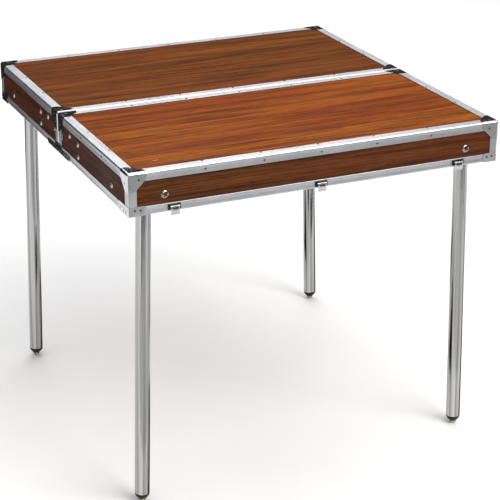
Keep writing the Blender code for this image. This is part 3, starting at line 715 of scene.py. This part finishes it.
def foot_corner_mesh(at_wall):
    """The two-layer angle piece round a lower corner, in its corner's frame."""
    ends = (FOOT_CORNER_END, FOOT_CORNER_END) if at_wall else (SEAM_CORNER_TALL, SEAM_CORNER_END)
    layers = []
    for low, high, up in ((CAP_LOW, CAP_LAP, FOOT_CORNER_UP), (CAP_LAP, CAP_HIGH, FOOT_CORNER_STEP)):
        tall = up == FOOT_CORNER_UP
        trim = 0.0 if tall else 0.0015
        end = ends[0] if tall else ends[1]
        outer_radius = CORNER_ROUND + high
        inner_radius = CORNER_ROUND + low
        outline = [(-low, end - trim), (-high, end - trim)]
        if at_wall:
            outline += arc((CORNER_ROUND, CORNER_ROUND), outer_radius, 180, 270, 6)
            outline += [(FOOT_CORNER_LONG - trim, -high), (FOOT_CORNER_LONG - trim, -low)]
            outline += arc((CORNER_ROUND, CORNER_ROUND), inner_radius, 270, 180, 6)
        else:
            outline += [(-high, 0.0002), (-low, 0.0002)]
        plate = prism(outline, RIM, RIM + up)
        bm = bmesh.new()
        bm.from_mesh(plate)
        tips = []
        for edge in bm.edges:
            first, second = edge.verts
            across = (first.co - second.co).length < 0.0012 and abs(first.co.z - second.co.z) < 1e-6
            middle = (first.co + second.co) / 2
            if across and max(middle.x, middle.y) > min(SEAM_CORNER_TALL, end) - 0.001:
                tips.append(edge)
        bevelled(bm, tips, FOOT_CORNER_TIP, 5)
        layers.append(mesh_from(bm))
    return smooth(joined(layers))


def rivet_mesh(radius, height):
    """A blind rivet's domed head: the steel dome, and painted shade in the hole left by its mandrel."""
    hole = radius * 0.42
    outline = [(0.0, height * 0.55), (hole, height * 0.55), (hole, height * 0.92)]
    outline += [(hole * 1.25, height), (radius * 0.62, height * 0.86)]
    outline += [(radius * 0.88, height * 0.5), (radius, height * 0.12), (radius, -SUNK)]
    outline += [(0.0, -SUNK)]
    mesh = smooth(lathe(outline, 20))
    # The hole's faces take the second slot, for painted shade.
    for polygon in mesh.polygons:
        if polygon.center.xy.length < hole and polygon.center.z > 0:
            polygon.material_index = 1
    return mesh


def phillips_mesh():
    """A large pan-head cross screw on its washer flange."""
    radius, height = SCREW_RADIUS, SCREW_HEIGHT
    outline = [(0.0, height), (radius * 0.30, height * 0.99), (radius * 0.55, height * 0.90)]
    outline += [(radius * 0.78, height * 0.70), (radius * 0.92, height * 0.42)]
    outline += [(radius, height * 0.16), (radius, -SUNK), (0.0, -SUNK)]
    head = lathe(outline, 40)
    depth, width, reach = height * 0.55, radius * 0.32, radius * 0.64
    arms = []
    for turn in range(2):
        arm = block((-reach, -width / 2, height - depth), (reach, width / 2, height * 2), 0.0002, 1)
        arm.transform(Matrix.Rotation(turn * pi / 2, 4, "Z"))
        arms.append(arm)
    head = smooth(softened(boolean(head, arms), 0.00010, 1, radians(45)))
    # Faces inside the cross recess take the second slot, for painted shade.
    for polygon in head.polygons:
        inside = polygon.center.xy.length < reach and polygon.center.z < height * 0.84
        if inside and polygon.center.z > height * 0.3:
            polygon.material_index = 1
    return head


def trim_rivets():
    """Rivets along the top trims, on both of their leaves."""
    rivet = rivet_mesh(RIVET_RADIUS, RIVET_HEIGHT)
    places = []
    for step in range(-2, 3):
        x = step * LONG_RIVET_PITCH
        for face, out in ((WALL_FACE, -1), (SEAM_FACE, 1)):
            places.append(facing((x, face - out * RIVET_IN, TOP), (0, 0, 1)))
        places.append(facing((x, WALL_FACE + LIP, TOP - RIVET_DOWN), (0, -1, 0)))
    for side in (-1, 1):
        for y in END_RIVETS:
            face = side * HALF_WIDTH
            places.append(facing((face - side * RIVET_IN, -y, TOP), (0, 0, 1)))
            places.append(facing((face - side * LIP, -y, TOP - RIVET_DOWN), (side, 0, 0)))
    return joined([moved(rivet, place) for place in places])


def corner_rivets():
    """Flat rivets on the caps' wings and on the lower corner pieces."""
    rivet = rivet_mesh(CAP_RIVET_RADIUS, CAP_RIVET_HEIGHT)
    meshes = []
    for index, place in enumerate(corner_places()):
        at_wall = index % 2 == 0
        spots = [((CAP_RIVET_NEAR, CAP_RIVET_NEAR, TOP + CAP_HIGH), (0, 0, 1))]
        spots.append(((-CAP_HIGH, CAP_RIVET_NEAR, TOP - CAP_RIVET_FAR), (-1, 0, 0)))
        along_end = (0.013, 0.024, 0.043) if at_wall else (0.012, 0.036, 0.064)
        for y in along_end:
            spots.append(((-CAP_HIGH, y, RIM + FOOT_CORNER_STEP / 2), (-1, 0, 0)))
        if at_wall:
            spots.append(((CAP_RIVET_FAR, -CAP_HIGH, TOP - CAP_RIVET_NEAR), (0, -1, 0)))
            for x in (0.013, 0.024):
                spots.append(((x, -CAP_HIGH, RIM + FOOT_CORNER_STEP), (0, -1, 0)))
        for spot, normal in spots:
            meshes.append(moved(moved(rivet, facing(spot, normal)), place))
    return joined(meshes)


def face_screws():
    """The large screws that hold the leg brackets through the walls."""
    screw = phillips_mesh()
    spins = random.Random(7)
    wood_face = WALL_FACE + WOOD_IN
    places = []
    for side in (-1, 1):
        spot = (side * WALL_SCREW[0], wood_face, TOP - WALL_SCREW[1])
        places.append(facing(spot, (0, -1, 0), spins.uniform(0, pi)))
        for y, down in END_SCREWS:
            spot = (side * (HALF_WIDTH - WOOD_IN), -y, TOP - down)
            places.append(facing(spot, (side, 0, 0), spins.uniform(0, pi)))
    return joined([moved(screw, place) for place in places])


def shadow_gap():
    """The thin dark strips of painted shadow where the trims meet the laminate."""
    width, height = SHADOW_GAP_SIZE
    left, right = -HALF_WIDTH + TOP_LEAF, HALF_WIDTH - TOP_LEAF
    low, high = WALL_FACE + TOP_LEAF, SEAM_FACE - TOP_LEAF
    under, over = WOOD_TOP - SUNK, WOOD_TOP + height
    shadow_strips = [
        ((left, low, under), (right, low + width, over)),
        ((left, high - width, under), (right, high, over)),
        ((left, low, under), (left + width, high, over)),
        ((right - width, low, under), (right, high, over)),
    ]
    face, end, reach = WALL_FACE + WOOD_IN, HALF_WIDTH - WOOD_IN, HALF_WIDTH - POST_LEAF
    for z in (TOP - SIDE_LEAF, RIM_TOP + width):
        shadow_strips.append(((-reach, face - height, z - width), (reach, face + SUNK, z)))
        for side in (-1, 1):
            x = sorted((side * (end + height), side * (end - SUNK)))
            shadow_strips.append(((x[0], WALL_FACE + POST_LEAF, z - width), (x[1], SEAM_FACE - POST_LEAF, z)))
    return joined([block(*shadow_strip, SHADOW_GAP_ROUND, 1) for shadow_strip in shadow_strips])


def rim_loop():
    """The rim trim, notched along the seam for the hinge's knuckles as the frame has it."""
    loop = trim_loop(angle_profile(RIM_TOP - RIM, RIM_LEAF), RIM, True)
    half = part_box("front_hinge_leaf")[1].x + 0.008
    notch = block((-half, -NOTCH[0], RIM - 0.01), (half, 0.01, RIM + NOTCH[1]))
    return smooth(boolean(loop, [notch]))


def add_tray(word, turn):
    body = f"{word}_tray"

    def add(name, mesh, materials, replaces=()):
        return piece(f"{word}_{name}", moved(mesh, turn), materials, body, replaces)

    top = smooth(trim_loop(angle_profile(SIDE_LEAF, TOP_LEAF), TOP, False))
    add("top_trim", top, [TRIM_X, TRIM_Y], [f"{word}_top_frame"])
    add("corner_posts", smooth(corner_posts()), [TRIM_Z])
    add("rim_angle", rim_loop(), [TRIM_X, TRIM_Y], [f"{word}_rim_trim"])
    add("trim_rivets", trim_rivets(), [RIVET, RECESS_PAINTED_SHADE])
    add("corner_rivets", corner_rivets(), [RIVET, RECESS_PAINTED_SHADE])
    add("face_screws", face_screws(), [SCREW, RECESS_PAINTED_SHADE])
    # Dark strips of painted shadow where the trims meet the laminate
    add("painted_shadow_gap", shadow_gap(), [RECESS_PAINTED_SHADE])
    for side in (-1, 1):
        hand = "left" if (side < 0) == (word == "front") else "right"
        for at_wall, where in ((True, "outer"), (False, "seam")):
            for made, kind, packed in ((CAPS, "cap", "top_cap"), (FOOT_CORNERS, "corner", "foot_corner")):
                shape = moved(made[at_wall], corner_place(side, at_wall))
                packed_name = f"{word}_{where}_{packed}_{hand}"
                add(f"{where}_{kind}_{hand}", shape, [CHROME], [packed_name])


CAPS = {at_wall: cap_mesh(at_wall) for at_wall in (True, False)}
FOOT_CORNERS = {at_wall: foot_corner_mesh(at_wall) for at_wall in (True, False)}
for tray_word, tray_turn in TRAY_TURNS:
    add_tray(tray_word, tray_turn)


# Legs

JOINTS = {joint["name"]: joint for joint in frame["joints"]}
TUBE_RADIUS = 0.015
TUBE_WALL = 0.0015
TUBE_TOP = 0.007
BOLT_HOLE = 0.0043
DRILL_REACH = 0.02
PLUG_TOP = 0.019
PLUG_BOTTOM = 0.0078
TUBE_SIDES = 72
TUBE_EDGE = 0.0004
STEM_CORE = 0.0031
STEM_CREST = 0.0035
THREAD_PITCH = 0.0012


def leg_frame(corner):
    """The leg's own frame (origin on the pivot, -Z down the leg) and its length to the foot's end."""
    pivot = Vector(JOINTS[f"{corner}_leg_fold"]["pos_m"])
    down = Vector(JOINTS[f"{corner}_foot_adjust"]["axis"]).normalized()
    turn = Vector((0, 0, -1)).rotation_difference(down)
    length = (pivot.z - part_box(f"{corner}_levelling_foot")[0].z) / -down.z
    return Matrix.Translation(pivot) @ turn.to_matrix().to_4x4(), length


def tube_mesh(length):
    inner = TUBE_RADIUS - TUBE_WALL
    bottom = -length + PLUG_TOP + 0.0003
    edge = TUBE_EDGE
    outline = [(inner, TUBE_TOP), (TUBE_RADIUS - edge, TUBE_TOP), (TUBE_RADIUS, TUBE_TOP - edge)]
    outline += [(TUBE_RADIUS, bottom + edge), (TUBE_RADIUS - edge, bottom), (inner, bottom)]
    tube = lathe(outline, TUBE_SIDES)
    drill = bar(BOLT_HOLE, DRILL_REACH, -DRILL_REACH, 24)
    drill.transform(Matrix.Rotation(pi / 2, 4, "X"))
    return smooth(boolean(tube, [drill]))


def plug_mesh():
    """The black end plug: collar, two grooves and a taper down to a rounded nose."""
    spigot = TUBE_RADIUS - TUBE_WALL - 0.0003
    collar = TUBE_RADIUS
    outline = [(0.0039, 0.040), (spigot - 0.0006, 0.040), (spigot, 0.0392), (spigot, PLUG_TOP)]
    outline += [(collar - 0.0003, PLUG_TOP), (collar, PLUG_TOP - 0.0003), (collar, 0.0170)]
    outline += [(collar - 0.0006, 0.0166), (collar - 0.0006, 0.0160), (collar - 0.0003, 0.0156)]
    outline += [(0.0134, 0.0132), (0.0113, 0.0100), (0.0097, 0.0088), (0.0088, PLUG_BOTTOM + 0.0004)]
    outline += [(0.0082, PLUG_BOTTOM), (0.0039, PLUG_BOTTOM)]
    return smooth(lathe(outline, TUBE_SIDES))


def foot_mesh():
    """The levelling foot: a shiny dome on its threaded stem."""
    outline = [(0.0, 0.032), (STEM_CORE, 0.032)]
    ridge = 0.0275
    while ridge > 0.0088:
        outline += [(STEM_CREST, ridge), (STEM_CORE, ridge - THREAD_PITCH / 2)]
        ridge -= THREAD_PITCH
    outline += [(STEM_CREST, 0.0074), (0.0058, 0.0071), (0.0070, 0.0062), (0.0075, 0.0050)]
    outline += [(0.0075, 0.0036), (0.0071, 0.0022), (0.0062, 0.0011), (0.0046, 0.0004)]
    outline += [(0.0, 0.0002)]
    return smooth(lathe(outline, 40))


def add_leg(corner):
    matrix, length = leg_frame(corner)
    end = matrix @ Matrix.Translation((0, 0, -length))
    names = [f"{corner}_{part}" for part in ("leg_tube", "leg_plug", "levelling_foot")]
    leg_body, foot_body = f"{corner}_leg", f"{corner}_foot"
    tube = tube_mesh(length)
    piece(f"{corner}_tube", tube, [TUBE_CHROME], leg_body, names[:1], matrix)
    piece(f"{corner}_end_plug", plug_mesh(), [BLACK], leg_body, names[1:2], end)
    piece(f"{corner}_foot_dome", foot_mesh(), [SCREW], foot_body, names[2:], end)


LEG_CORNERS = ("front_left", "front_right", "rear_left", "rear_right")
for leg_corner in LEG_CORNERS:
    add_leg(leg_corner)


# Brackets, bolts and nuts

NUT_RADIUS = 0.0062
NUT_HEIGHT = 0.0046


def dome_nut_mesh():
    """A hexagon nut with a domed end, standing on its flange."""
    hexagon = []
    for step in range(6):
        angle = radians(60 * step)
        hexagon.append((NUT_RADIUS * cos(angle), NUT_RADIUS * sin(angle)))
    body = softened(prism(hexagon, -0.0001, NUT_HEIGHT * 0.6), 0.0003)
    dome = [(0.0, NUT_HEIGHT)]
    dome += [(NUT_RADIUS * 0.35, NUT_HEIGHT * 0.96), (NUT_RADIUS * 0.62, NUT_HEIGHT * 0.80)]
    dome += [(NUT_RADIUS * 0.78, NUT_HEIGHT * 0.55), (0.0, NUT_HEIGHT * 0.55)]
    flange = lathe([(0, 0.0007), (NUT_RADIUS * 1.25, 0.0007), (NUT_RADIUS * 1.3, 0), (0, 0)], 32)
    return smooth(joined([body, lathe(dome, 24), flange]))


def inner_nuts():
    """The nuts inside the end walls, on the ends of the large screws."""
    nut = dome_nut_mesh()
    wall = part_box("front_end_wall_right")[0].x
    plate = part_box("front_right_leg_bracket")
    inner_plate = plate[1].x - 0.002
    meshes = []
    for side in (-1, 1):
        for y, down in END_SCREWS:
            on_bracket = -y < plate[1].y
            x = side * (inner_plate if on_bracket else wall)
            meshes.append(moved(nut, facing((x, -y, TOP - down), (-side, 0, 0), y * 40)))
    return joined(meshes)


for leg_corner in LEG_CORNERS:
    tray_body = leg_corner.split("_")[0] + "_tray"
    for part, width in (("leg_bracket", 0.0004), ("pivot_bolt", 0.0005)):
        node_name = f"{leg_corner}_{part}"
        shape = refined(node_name, width)
        piece(f"{leg_corner}_{part}_plated", shape, [ZINC], tray_body, [node_name])

NUTS = inner_nuts()
for tray_word, tray_turn in TRAY_TURNS:
    nuts = moved(NUTS, tray_turn)
    piece(f"{tray_word}_inner_nuts", nuts, [ZINC], f"{tray_word}_tray")


# Catches

CATCH_OUT_TO_Y = Matrix(((0, 0, 1, 0), (-1, 0, 0, 0), (0, 1, 0, 0), (0, 0, 0, 1)))
CATCH_AXIS = (0.0046, 0.0112)
CATCH_PIN_PLACE = Matrix.Translation((0, -CATCH_AXIS[0], CATCH_AXIS[1])) @ Matrix.Rotation(
    pi / 2, 4, "Y"
)
CATCH_PIN_RADIUS = 0.0009
CATCH_PIN_HALF = 0.0114
EAR_BORE_RADIUS = 0.00105
EAR_INNER = 0.0102
PLATE_ROUND = 0.0022
BARREL_RADIUS = 0.0012
COIL_RADIUS = 0.0015
COIL_WIRE = 0.00035
COIL_TURNS = 7
COIL_STEPS = 16
COIL_LENGTH = 0.0120
LEVER_WINDOW = ((-0.0064, 0.0034), (0.0064, 0.0095))
LEVER_HALF_WIDTH = 0.0088
LEVER_THICKNESS = 0.0012
LEVER_PATH = (
    (0.0057, 0.0110),
    (0.0059, 0.0075),
    (0.0057, 0.0030),
    (0.0053, -0.0010),
    (0.0049, -0.0036),
    (0.0043, -0.0052),
    (0.0034, -0.0058),
)


def catch_base_shape():
    """A riveted plate with two ears, from the catch's place on the wall face at the rim."""
    low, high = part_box("catch_base_middle")
    half = high.x
    z_low, z_high = low.z - RIM, high.z - RIM
    middle = (0.0, (z_high + z_low) / 2)
    outline = rounded_rectangle(half, (z_high - z_low) / 2, PLATE_ROUND, middle)
    plate = prism(outline, CAP_LOW, PROUD)
    plate.transform(Matrix.Rotation(pi / 2, 4, "X"))
    shapes = [softened(plate, 0.0002)]
    bore = moved(bar(EAR_BORE_RADIUS, DRILL_REACH, -DRILL_REACH, 20), CATCH_PIN_PLACE)
    for side in (-1, 1):
        ear = [(0.0006, CATCH_AXIS[1] - 0.0030), (CATCH_AXIS[0], CATCH_AXIS[1] - 0.0020)]
        ear += arc(CATCH_AXIS, 0.0020, -70, 70, 8)
        ear += [(CATCH_AXIS[0], CATCH_AXIS[1] + 0.0020), (0.0006, CATCH_AXIS[1] + 0.0030)]
        inner, outer = sorted((side * EAR_INNER, side * CATCH_PIN_HALF))
        cheek = softened(moved(prism(ear, inner, outer), CATCH_OUT_TO_Y), 0.0002)
        shapes.append(boolean(cheek, [bore]))
    rivet = rivet_mesh(0.0010, 0.0004)
    for x in (-0.0124, 0.0124):
        spot = (x, -PROUD, (z_low + z_high) / 2)
        shapes.append(moved(rivet, facing(spot, (0, -1, 0))))
    return smooth(joined(shapes))


def hasp_shape():
    """The sprung lever: a rolled barrel on its pin and a bowed plate that curls in at the end."""
    end, shoulder, neck = 0.0096, 0.0092, BARREL_RADIUS - 0.0004
    outline = [(0.0, end), (neck, end), (BARREL_RADIUS, shoulder)]
    barrel = lathe(outline + [(radius, -along) for radius, along in reversed(outline)], 28)
    pin = bar(CATCH_PIN_RADIUS, CATCH_PIN_HALF, -CATCH_PIN_HALF, 16)
    section = sheet_section(LEVER_PATH, LEVER_THICKNESS)
    lever = prism(section, -LEVER_HALF_WIDTH, LEVER_HALF_WIDTH)
    (x_low, z_low), (x_high, z_high) = LEVER_WINDOW
    window = block((x_low, -0.02, z_low), (x_high, 0.02, z_high), 0.0012, 4)
    lever = softened(boolean(moved(lever, CATCH_OUT_TO_Y), [window]), 0.0002)
    coil = []
    for step in range(COIL_TURNS * COIL_STEPS + 1):
        angle = 2 * pi * step / COIL_STEPS
        along = (step / (COIL_TURNS * COIL_STEPS) - 0.5) * COIL_LENGTH
        coil.append((COIL_RADIUS * cos(angle), COIL_RADIUS * sin(angle), along))
    turned = [moved(shape, CATCH_PIN_PLACE) for shape in (barrel, pin, rod_through(coil, COIL_WIRE, 2))]
    return smooth(joined([turned[0], turned[1], lever, turned[2]]))


BASE = catch_base_shape()
HASP = hasp_shape()
for word in ("left", "middle", "right"):
    low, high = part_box(f"catch_base_{word}")
    place = Matrix.Translation(((low.x + high.x) / 2, WALL_FACE, RIM))
    node_name = f"catch_base_{word}"
    plate = moved(BASE, place)
    steel_and_painted_shade = [DARK_STEEL, RECESS_PAINTED_SHADE]
    piece(f"catch_plate_{word}", plate, steel_and_painted_shade, "front_tray", [node_name])
    lever, node_name = moved(HASP, place), f"catch_hasp_{word}"
    piece(f"catch_lever_{word}", lever, [CHROME], f"hasp_{word}", [node_name])


# The rear tray's studs, handle lugs and handle

HANDLE_AXIS = Vector(JOINTS["handle_swing"]["pos_m"])
HANDLE_SPAN = 0.049
HANDLE_DROP = 0.037
HANDLE_PIVOT_END = 0.0605
HANDLE_BEND = 0.008
WIRE_RADIUS = 0.0022
GRIP_RADIUS = 0.0050
GRIP_HALF_LENGTH = 0.040
RIB_PITCH = 0.0036
RIB_START = 0.0062
LUG_CENTRE = 0.056
LUG_HALF_THICKNESS = 0.0012
LUG_HALF_HEIGHT = 0.0052
STUD_RADIUS = 0.0020
STUD_HEIGHT = 0.0020
STUD_UP = 0.0022


def stud_shapes():
    outline = [(0.0, STUD_HEIGHT), (STUD_RADIUS * 0.7, STUD_HEIGHT * 0.97)]
    outline += [(STUD_RADIUS, STUD_HEIGHT * 0.75), (STUD_RADIUS * 0.95, STUD_HEIGHT * 0.5)]
    outline += [(STUD_RADIUS * 0.62, STUD_HEIGHT * 0.4), (STUD_RADIUS * 0.62, -SUNK)]
    outline += [(0.0, -SUNK)]
    stud = smooth(lathe(outline, 24))
    meshes = []
    for word in ("left", "middle", "right"):
        low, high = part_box(f"catch_base_{word}")
        spot = ((low.x + high.x) / 2, WALL_FACE, RIM + STUD_UP)
        meshes.append(moved(stud, facing(spot, (0, -1, 0))))
    return joined(meshes)


def lug_shapes():
    """Two drilled lugs for the handle's pivots, in front tray terms."""
    out = HANDLE_AXIS.y + WALL_FACE
    up = HANDLE_AXIS.z
    round_end = min(LUG_HALF_HEIGHT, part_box("rear_rim_trim")[1].y + WALL_FACE - out)
    outline = [(-0.0004, up - LUG_HALF_HEIGHT), (out - 0.002, up - LUG_HALF_HEIGHT)]
    outline += arc((out, up), round_end, -75, 75, 10)
    outline += [(out - 0.002, up + LUG_HALF_HEIGHT), (-0.0004, up + LUG_HALF_HEIGHT)]
    meshes = []
    for x in (-LUG_CENTRE, LUG_CENTRE):
        plate = prism(outline, x - LUG_HALF_THICKNESS, x + LUG_HALF_THICKNESS)
        reach = 2 * LUG_HALF_THICKNESS
        drill = bar(WIRE_RADIUS + 0.0003, x + reach, x - reach, 24)
        drill.transform(Matrix.Translation((out, up, 0)))
        plate = softened(boolean(plate, [drill]), 0.0003)
        place = Matrix.Translation((0, WALL_FACE, 0)) @ CATCH_OUT_TO_Y
        meshes.append(moved(plate, place))
    return smooth(joined(meshes))


def bail_shape():
    """The handle's wire, from its own axis."""
    left, right, up = Vector((-1, 0, 0)), Vector((1, 0, 0)), Vector((0, 0, 1))
    points = [Vector((-HANDLE_PIVOT_END, 0, 0))]
    points += rounded_corner((-HANDLE_SPAN, 0, 0), left, -up, WIRE_RADIUS * 1.6)
    points += rounded_corner((-HANDLE_SPAN, 0, -HANDLE_DROP), up, right, HANDLE_BEND)
    points += rounded_corner((HANDLE_SPAN, 0, -HANDLE_DROP), left, up, HANDLE_BEND)
    points += rounded_corner((HANDLE_SPAN, 0, 0), -up, right, WIRE_RADIUS * 1.6)
    points.append(Vector((HANDLE_PIVOT_END, 0, 0)))
    return smooth(rod_through(points, WIRE_RADIUS))


def grip_shape():
    """The ribbed grip, turned about the wire's lower run."""
    end, full = GRIP_HALF_LENGTH, GRIP_RADIUS
    groove, crest = full - 0.0008, full - 0.0002
    tip = [(0.0, end), (full - 0.0012, end), (full - 0.0003, end - 0.0006), (full, end - 0.0016)]
    tip.append((full, end - 0.0050))
    outline = list(tip)
    station = end - RIB_START
    while station > -end + RIB_START:
        outline += [(groove, station), (groove, station - RIB_PITCH * 0.3)]
        outline += [(crest, station - RIB_PITCH * 0.45), (crest, station - RIB_PITCH * 0.85)]
        station -= RIB_PITCH
    outline += [(radius, -along) for radius, along in reversed(tip)]
    grip = lathe(outline, 40)
    grip.transform(Matrix.Translation((0, 0, -HANDLE_DROP)) @ Matrix.Rotation(pi / 2, 4, "Y"))
    return smooth(grip)


piece("keeper_studs", moved(stud_shapes(), HALF_TURN), [CHROME], "rear_tray")
piece("handle_lugs", moved(lug_shapes(), HALF_TURN), [ZINC], "rear_tray")
HANDLE_PLACE = Matrix.Translation(HANDLE_AXIS)
piece("handle_bail", bail_shape(), [CHROME], "handle", ["carry_handle"], HANDLE_PLACE)
piece("handle_grip", grip_shape(), [BLACK], "handle", (), HANDLE_PLACE)


# The hook on the front tray's ends and the stud that it catches on the rear tray's

FASTENER_IN = 0.0245
HOOK_TOP = 0.0400
HOOK_WIRE = 0.0008
HOOK_RADIUS = 0.0024
EYE_RADIUS = 0.0021
DOME_DOWN = 0.0430


def end_hook_shapes():
    """A small wire hook hanging from a screw eye, on both ends."""
    meshes = []
    for side in (-1, 1):
        x = side * (HALF_WIDTH - WOOD_IN + HOOK_WIRE + 0.0003)
        y, top = SEAM_FACE - FASTENER_IN, TOP - HOOK_TOP
        path = arc((y, top), EYE_RADIUS, -80, 256, 14)
        path += [(y + 0.0002, top - 0.0030), (y, top - 0.0080)]
        path += arc((y + HOOK_RADIUS, top - 0.0095), HOOK_RADIUS, 180, 380, 8)
        meshes.append(rod_through([(x, *point) for point in path], HOOK_WIRE, 3))
        screw = [(0.0, 0.0022), (0.0009, 0.0021), (0.0014, 0.0016), (0.0014, -SUNK), (0.0, -SUNK)]
        head = lathe(screw, 20)
        spot = (side * (HALF_WIDTH - WOOD_IN), y, top)
        meshes.append(moved(head, facing(spot, (side, 0, 0))))
    return smooth(joined(meshes))


def end_dome_shapes():
    """The domed stud that the hook drops over, on both ends."""
    outline = [(0.0, 0.0025), (0.0014, 0.0023), (0.0026, 0.0016), (0.0031, 0.0008)]
    outline += [(0.0031, 0.0004), (0.0040, 0.0003), (0.0041, -SUNK), (0.0, -SUNK)]
    dome = smooth(lathe(outline, 32))
    meshes = []
    for side in (-1, 1):
        spot = (side * (HALF_WIDTH - WOOD_IN), SEAM_FACE - FASTENER_IN, TOP - DOME_DOWN)
        meshes.append(moved(dome, facing(spot, (side, 0, 0))))
    return joined(meshes)


piece("end_hooks", end_hook_shapes(), [SCREW], "front_tray")
piece("end_domes", moved(end_dome_shapes(), HALF_TURN), [SCREW], "rear_tray")


# CAD nodes that keep their shape

NODE_FINISHES = {
    "front_top_panel": WOOD,
    "rear_top_panel": WOOD_REAR,
    "outer_wall": WOOD_SIDE_SHADED,
    "seam_wall": WOOD_SIDE_SHADED,
    "end_wall": WOOD_END_SHADED,
    "hinge": ZINC,
}
for node_name, node_object in frame["nodes"].items():
    for words, finish in NODE_FINISHES.items():
        if words in node_name:
            node_object.material_slots[0].material = finish


# Stage: floor, light and camera

FLOOR_HALF = 12.0
FLAG_GAP = 0.012
SEEN_GROUND = (0.93, 0.93, 0.93)
WORLD_STRENGTH = 1.12
LONG_FLAG = 1.30
SHORT_FLAG = 0.50
FLAG_DEPTH = 0.30

def add_floor():
    bm = bmesh.new()
    bmesh.ops.create_grid(bm, x_segments=2, y_segments=2, size=FLOOR_HALF)
    floor = new_object("studio_floor", mesh_from(bm))
    floor.data.materials.append(floor_finish("studio_paper"))


def add_leg_flag(corner):
    """A black sheet on the floor beside a leg."""
    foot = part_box(f"{corner}_levelling_foot")
    low = (foot[1].x + FLAG_GAP, foot[0].y - FLAG_GAP, 0.001)
    reach = LONG_FLAG if foot[0].x > 0 else SHORT_FLAG
    high = (foot[1].x + reach, foot[1].y + FLAG_DEPTH, 0.002)
    add_flag(f"flag_{corner}", low, high, BLACK_FLAG)


def add_flag(name, low, high, finish, turn=0.0):
    """A card that only reflections see, as a studio flag; it turns about the middle of its foot."""
    low, high = Vector(low), Vector(high)
    foot = Vector(((low.x + high.x) / 2, (low.y + high.y) / 2, low.z))
    flag = new_object(name, block(low - foot, high - foot))
    flag.location = foot
    flag.rotation_euler = (0, 0, radians(turn))
    flag.data.materials.append(finish)
    flag.visible_camera = False
    flag.visible_shadow = False
    flag.visible_diffuse = False


def add_softbox(name, place, target, size, power, colour=(1, 1, 1)):
    light = bpy.data.lights.new(name, "AREA")
    light.shape = "RECTANGLE"
    light.size, light.size_y = size
    light.energy = power
    light.color = colour
    obj = new_object(name, light)
    obj.location = place
    obj.rotation_euler = (Vector(target) - Vector(place)).to_track_quat("-Z", "Y").to_euler()


def add_world():
    """A studio seen in reflections: dark walls, a bright ceiling; a plain pale ground behind it all."""
    world = bpy.data.worlds.new("studio")
    bpy.context.scene.world = world
    world.use_nodes = True
    tree = world.node_tree
    background = tree.nodes["Background"]
    direction = node(tree, "ShaderNodeTexCoord").outputs["Generated"]
    height = node(tree, "ShaderNodeSeparateXYZ", {0: direction}).outputs["Z"]
    room = ramp(tree, height, ((0.0, 0.03), (0.42, 0.03), (0.58, 0.85), (1.0, 1.0)))
    seen = node(tree, "ShaderNodeLightPath").outputs["Is Camera Ray"]
    colour = mixed(tree, seen, room, SEEN_GROUND)
    tree.links.new(colour, background.inputs["Color"])
    background.inputs["Strength"].default_value = WORLD_STRENGTH


def add_camera():
    camera = bpy.data.cameras.new("camera")
    camera.lens = CAMERA_LENS
    camera.sensor_width = SENSOR_WIDTH
    obj = new_object("camera", camera)
    flat, drop = cos(CAMERA_PITCH), sin(CAMERA_PITCH)
    forward = Vector((sin(CAMERA_YAW) * flat, cos(CAMERA_YAW) * flat, -drop))
    turn = forward.to_track_quat("-Z", "Y") @ Quaternion((0, 0, 1), CAMERA_ROLL)
    obj.location = CAMERA_PLACE
    obj.rotation_euler = turn.to_euler()
    bpy.context.scene.camera = obj


bpy.context.scene.view_settings.view_transform = "Standard"
BLACK_FLAG = flag_finish("flag_black", 0.004)
GREY_FLAG = flag_finish("flag_grey", 0.38)
PALE_FLAG = flag_finish("flag_pale", 0.58)
add_floor()
add_world()
add_camera()
add_flag("flag_left_rear", (-1.80, 1.615, 0.0), (-0.30, 1.625, 0.70), BLACK_FLAG)
for flag_corner in LEG_CORNERS:
    add_leg_flag(flag_corner)
add_flag("flag_front", (-1.9, -1.905, 0.0), (2.3, -1.895, 0.55), GREY_FLAG)
add_flag("flag_front_floor", (-1.5, -1.89, 0.001), (1.9, -0.60, 0.002), PALE_FLAG)
add_flag("flag_left_front", (-1.30, -1.355, 0.0), (-1.00, -1.345, 1.4), BLACK_FLAG, -35)
add_flag("flag_right_front", (1.10, -1.305, 0.0), (1.40, -1.295, 1.4), BLACK_FLAG, 40)
add_softbox("key", (1.2, -2.6, 3.2), (0, 0, 0.5), (2.4, 2.4), 105, (1.0, 0.99, 0.97))
add_softbox("back", (0.9, 3.0, 3.4), (0, 0, 0.6), (3.0, 1.6), 52)
add_softbox("front", (-0.6, -4.2, 1.4), (0, 0, 0.5), (2.2, 1.6), 14)
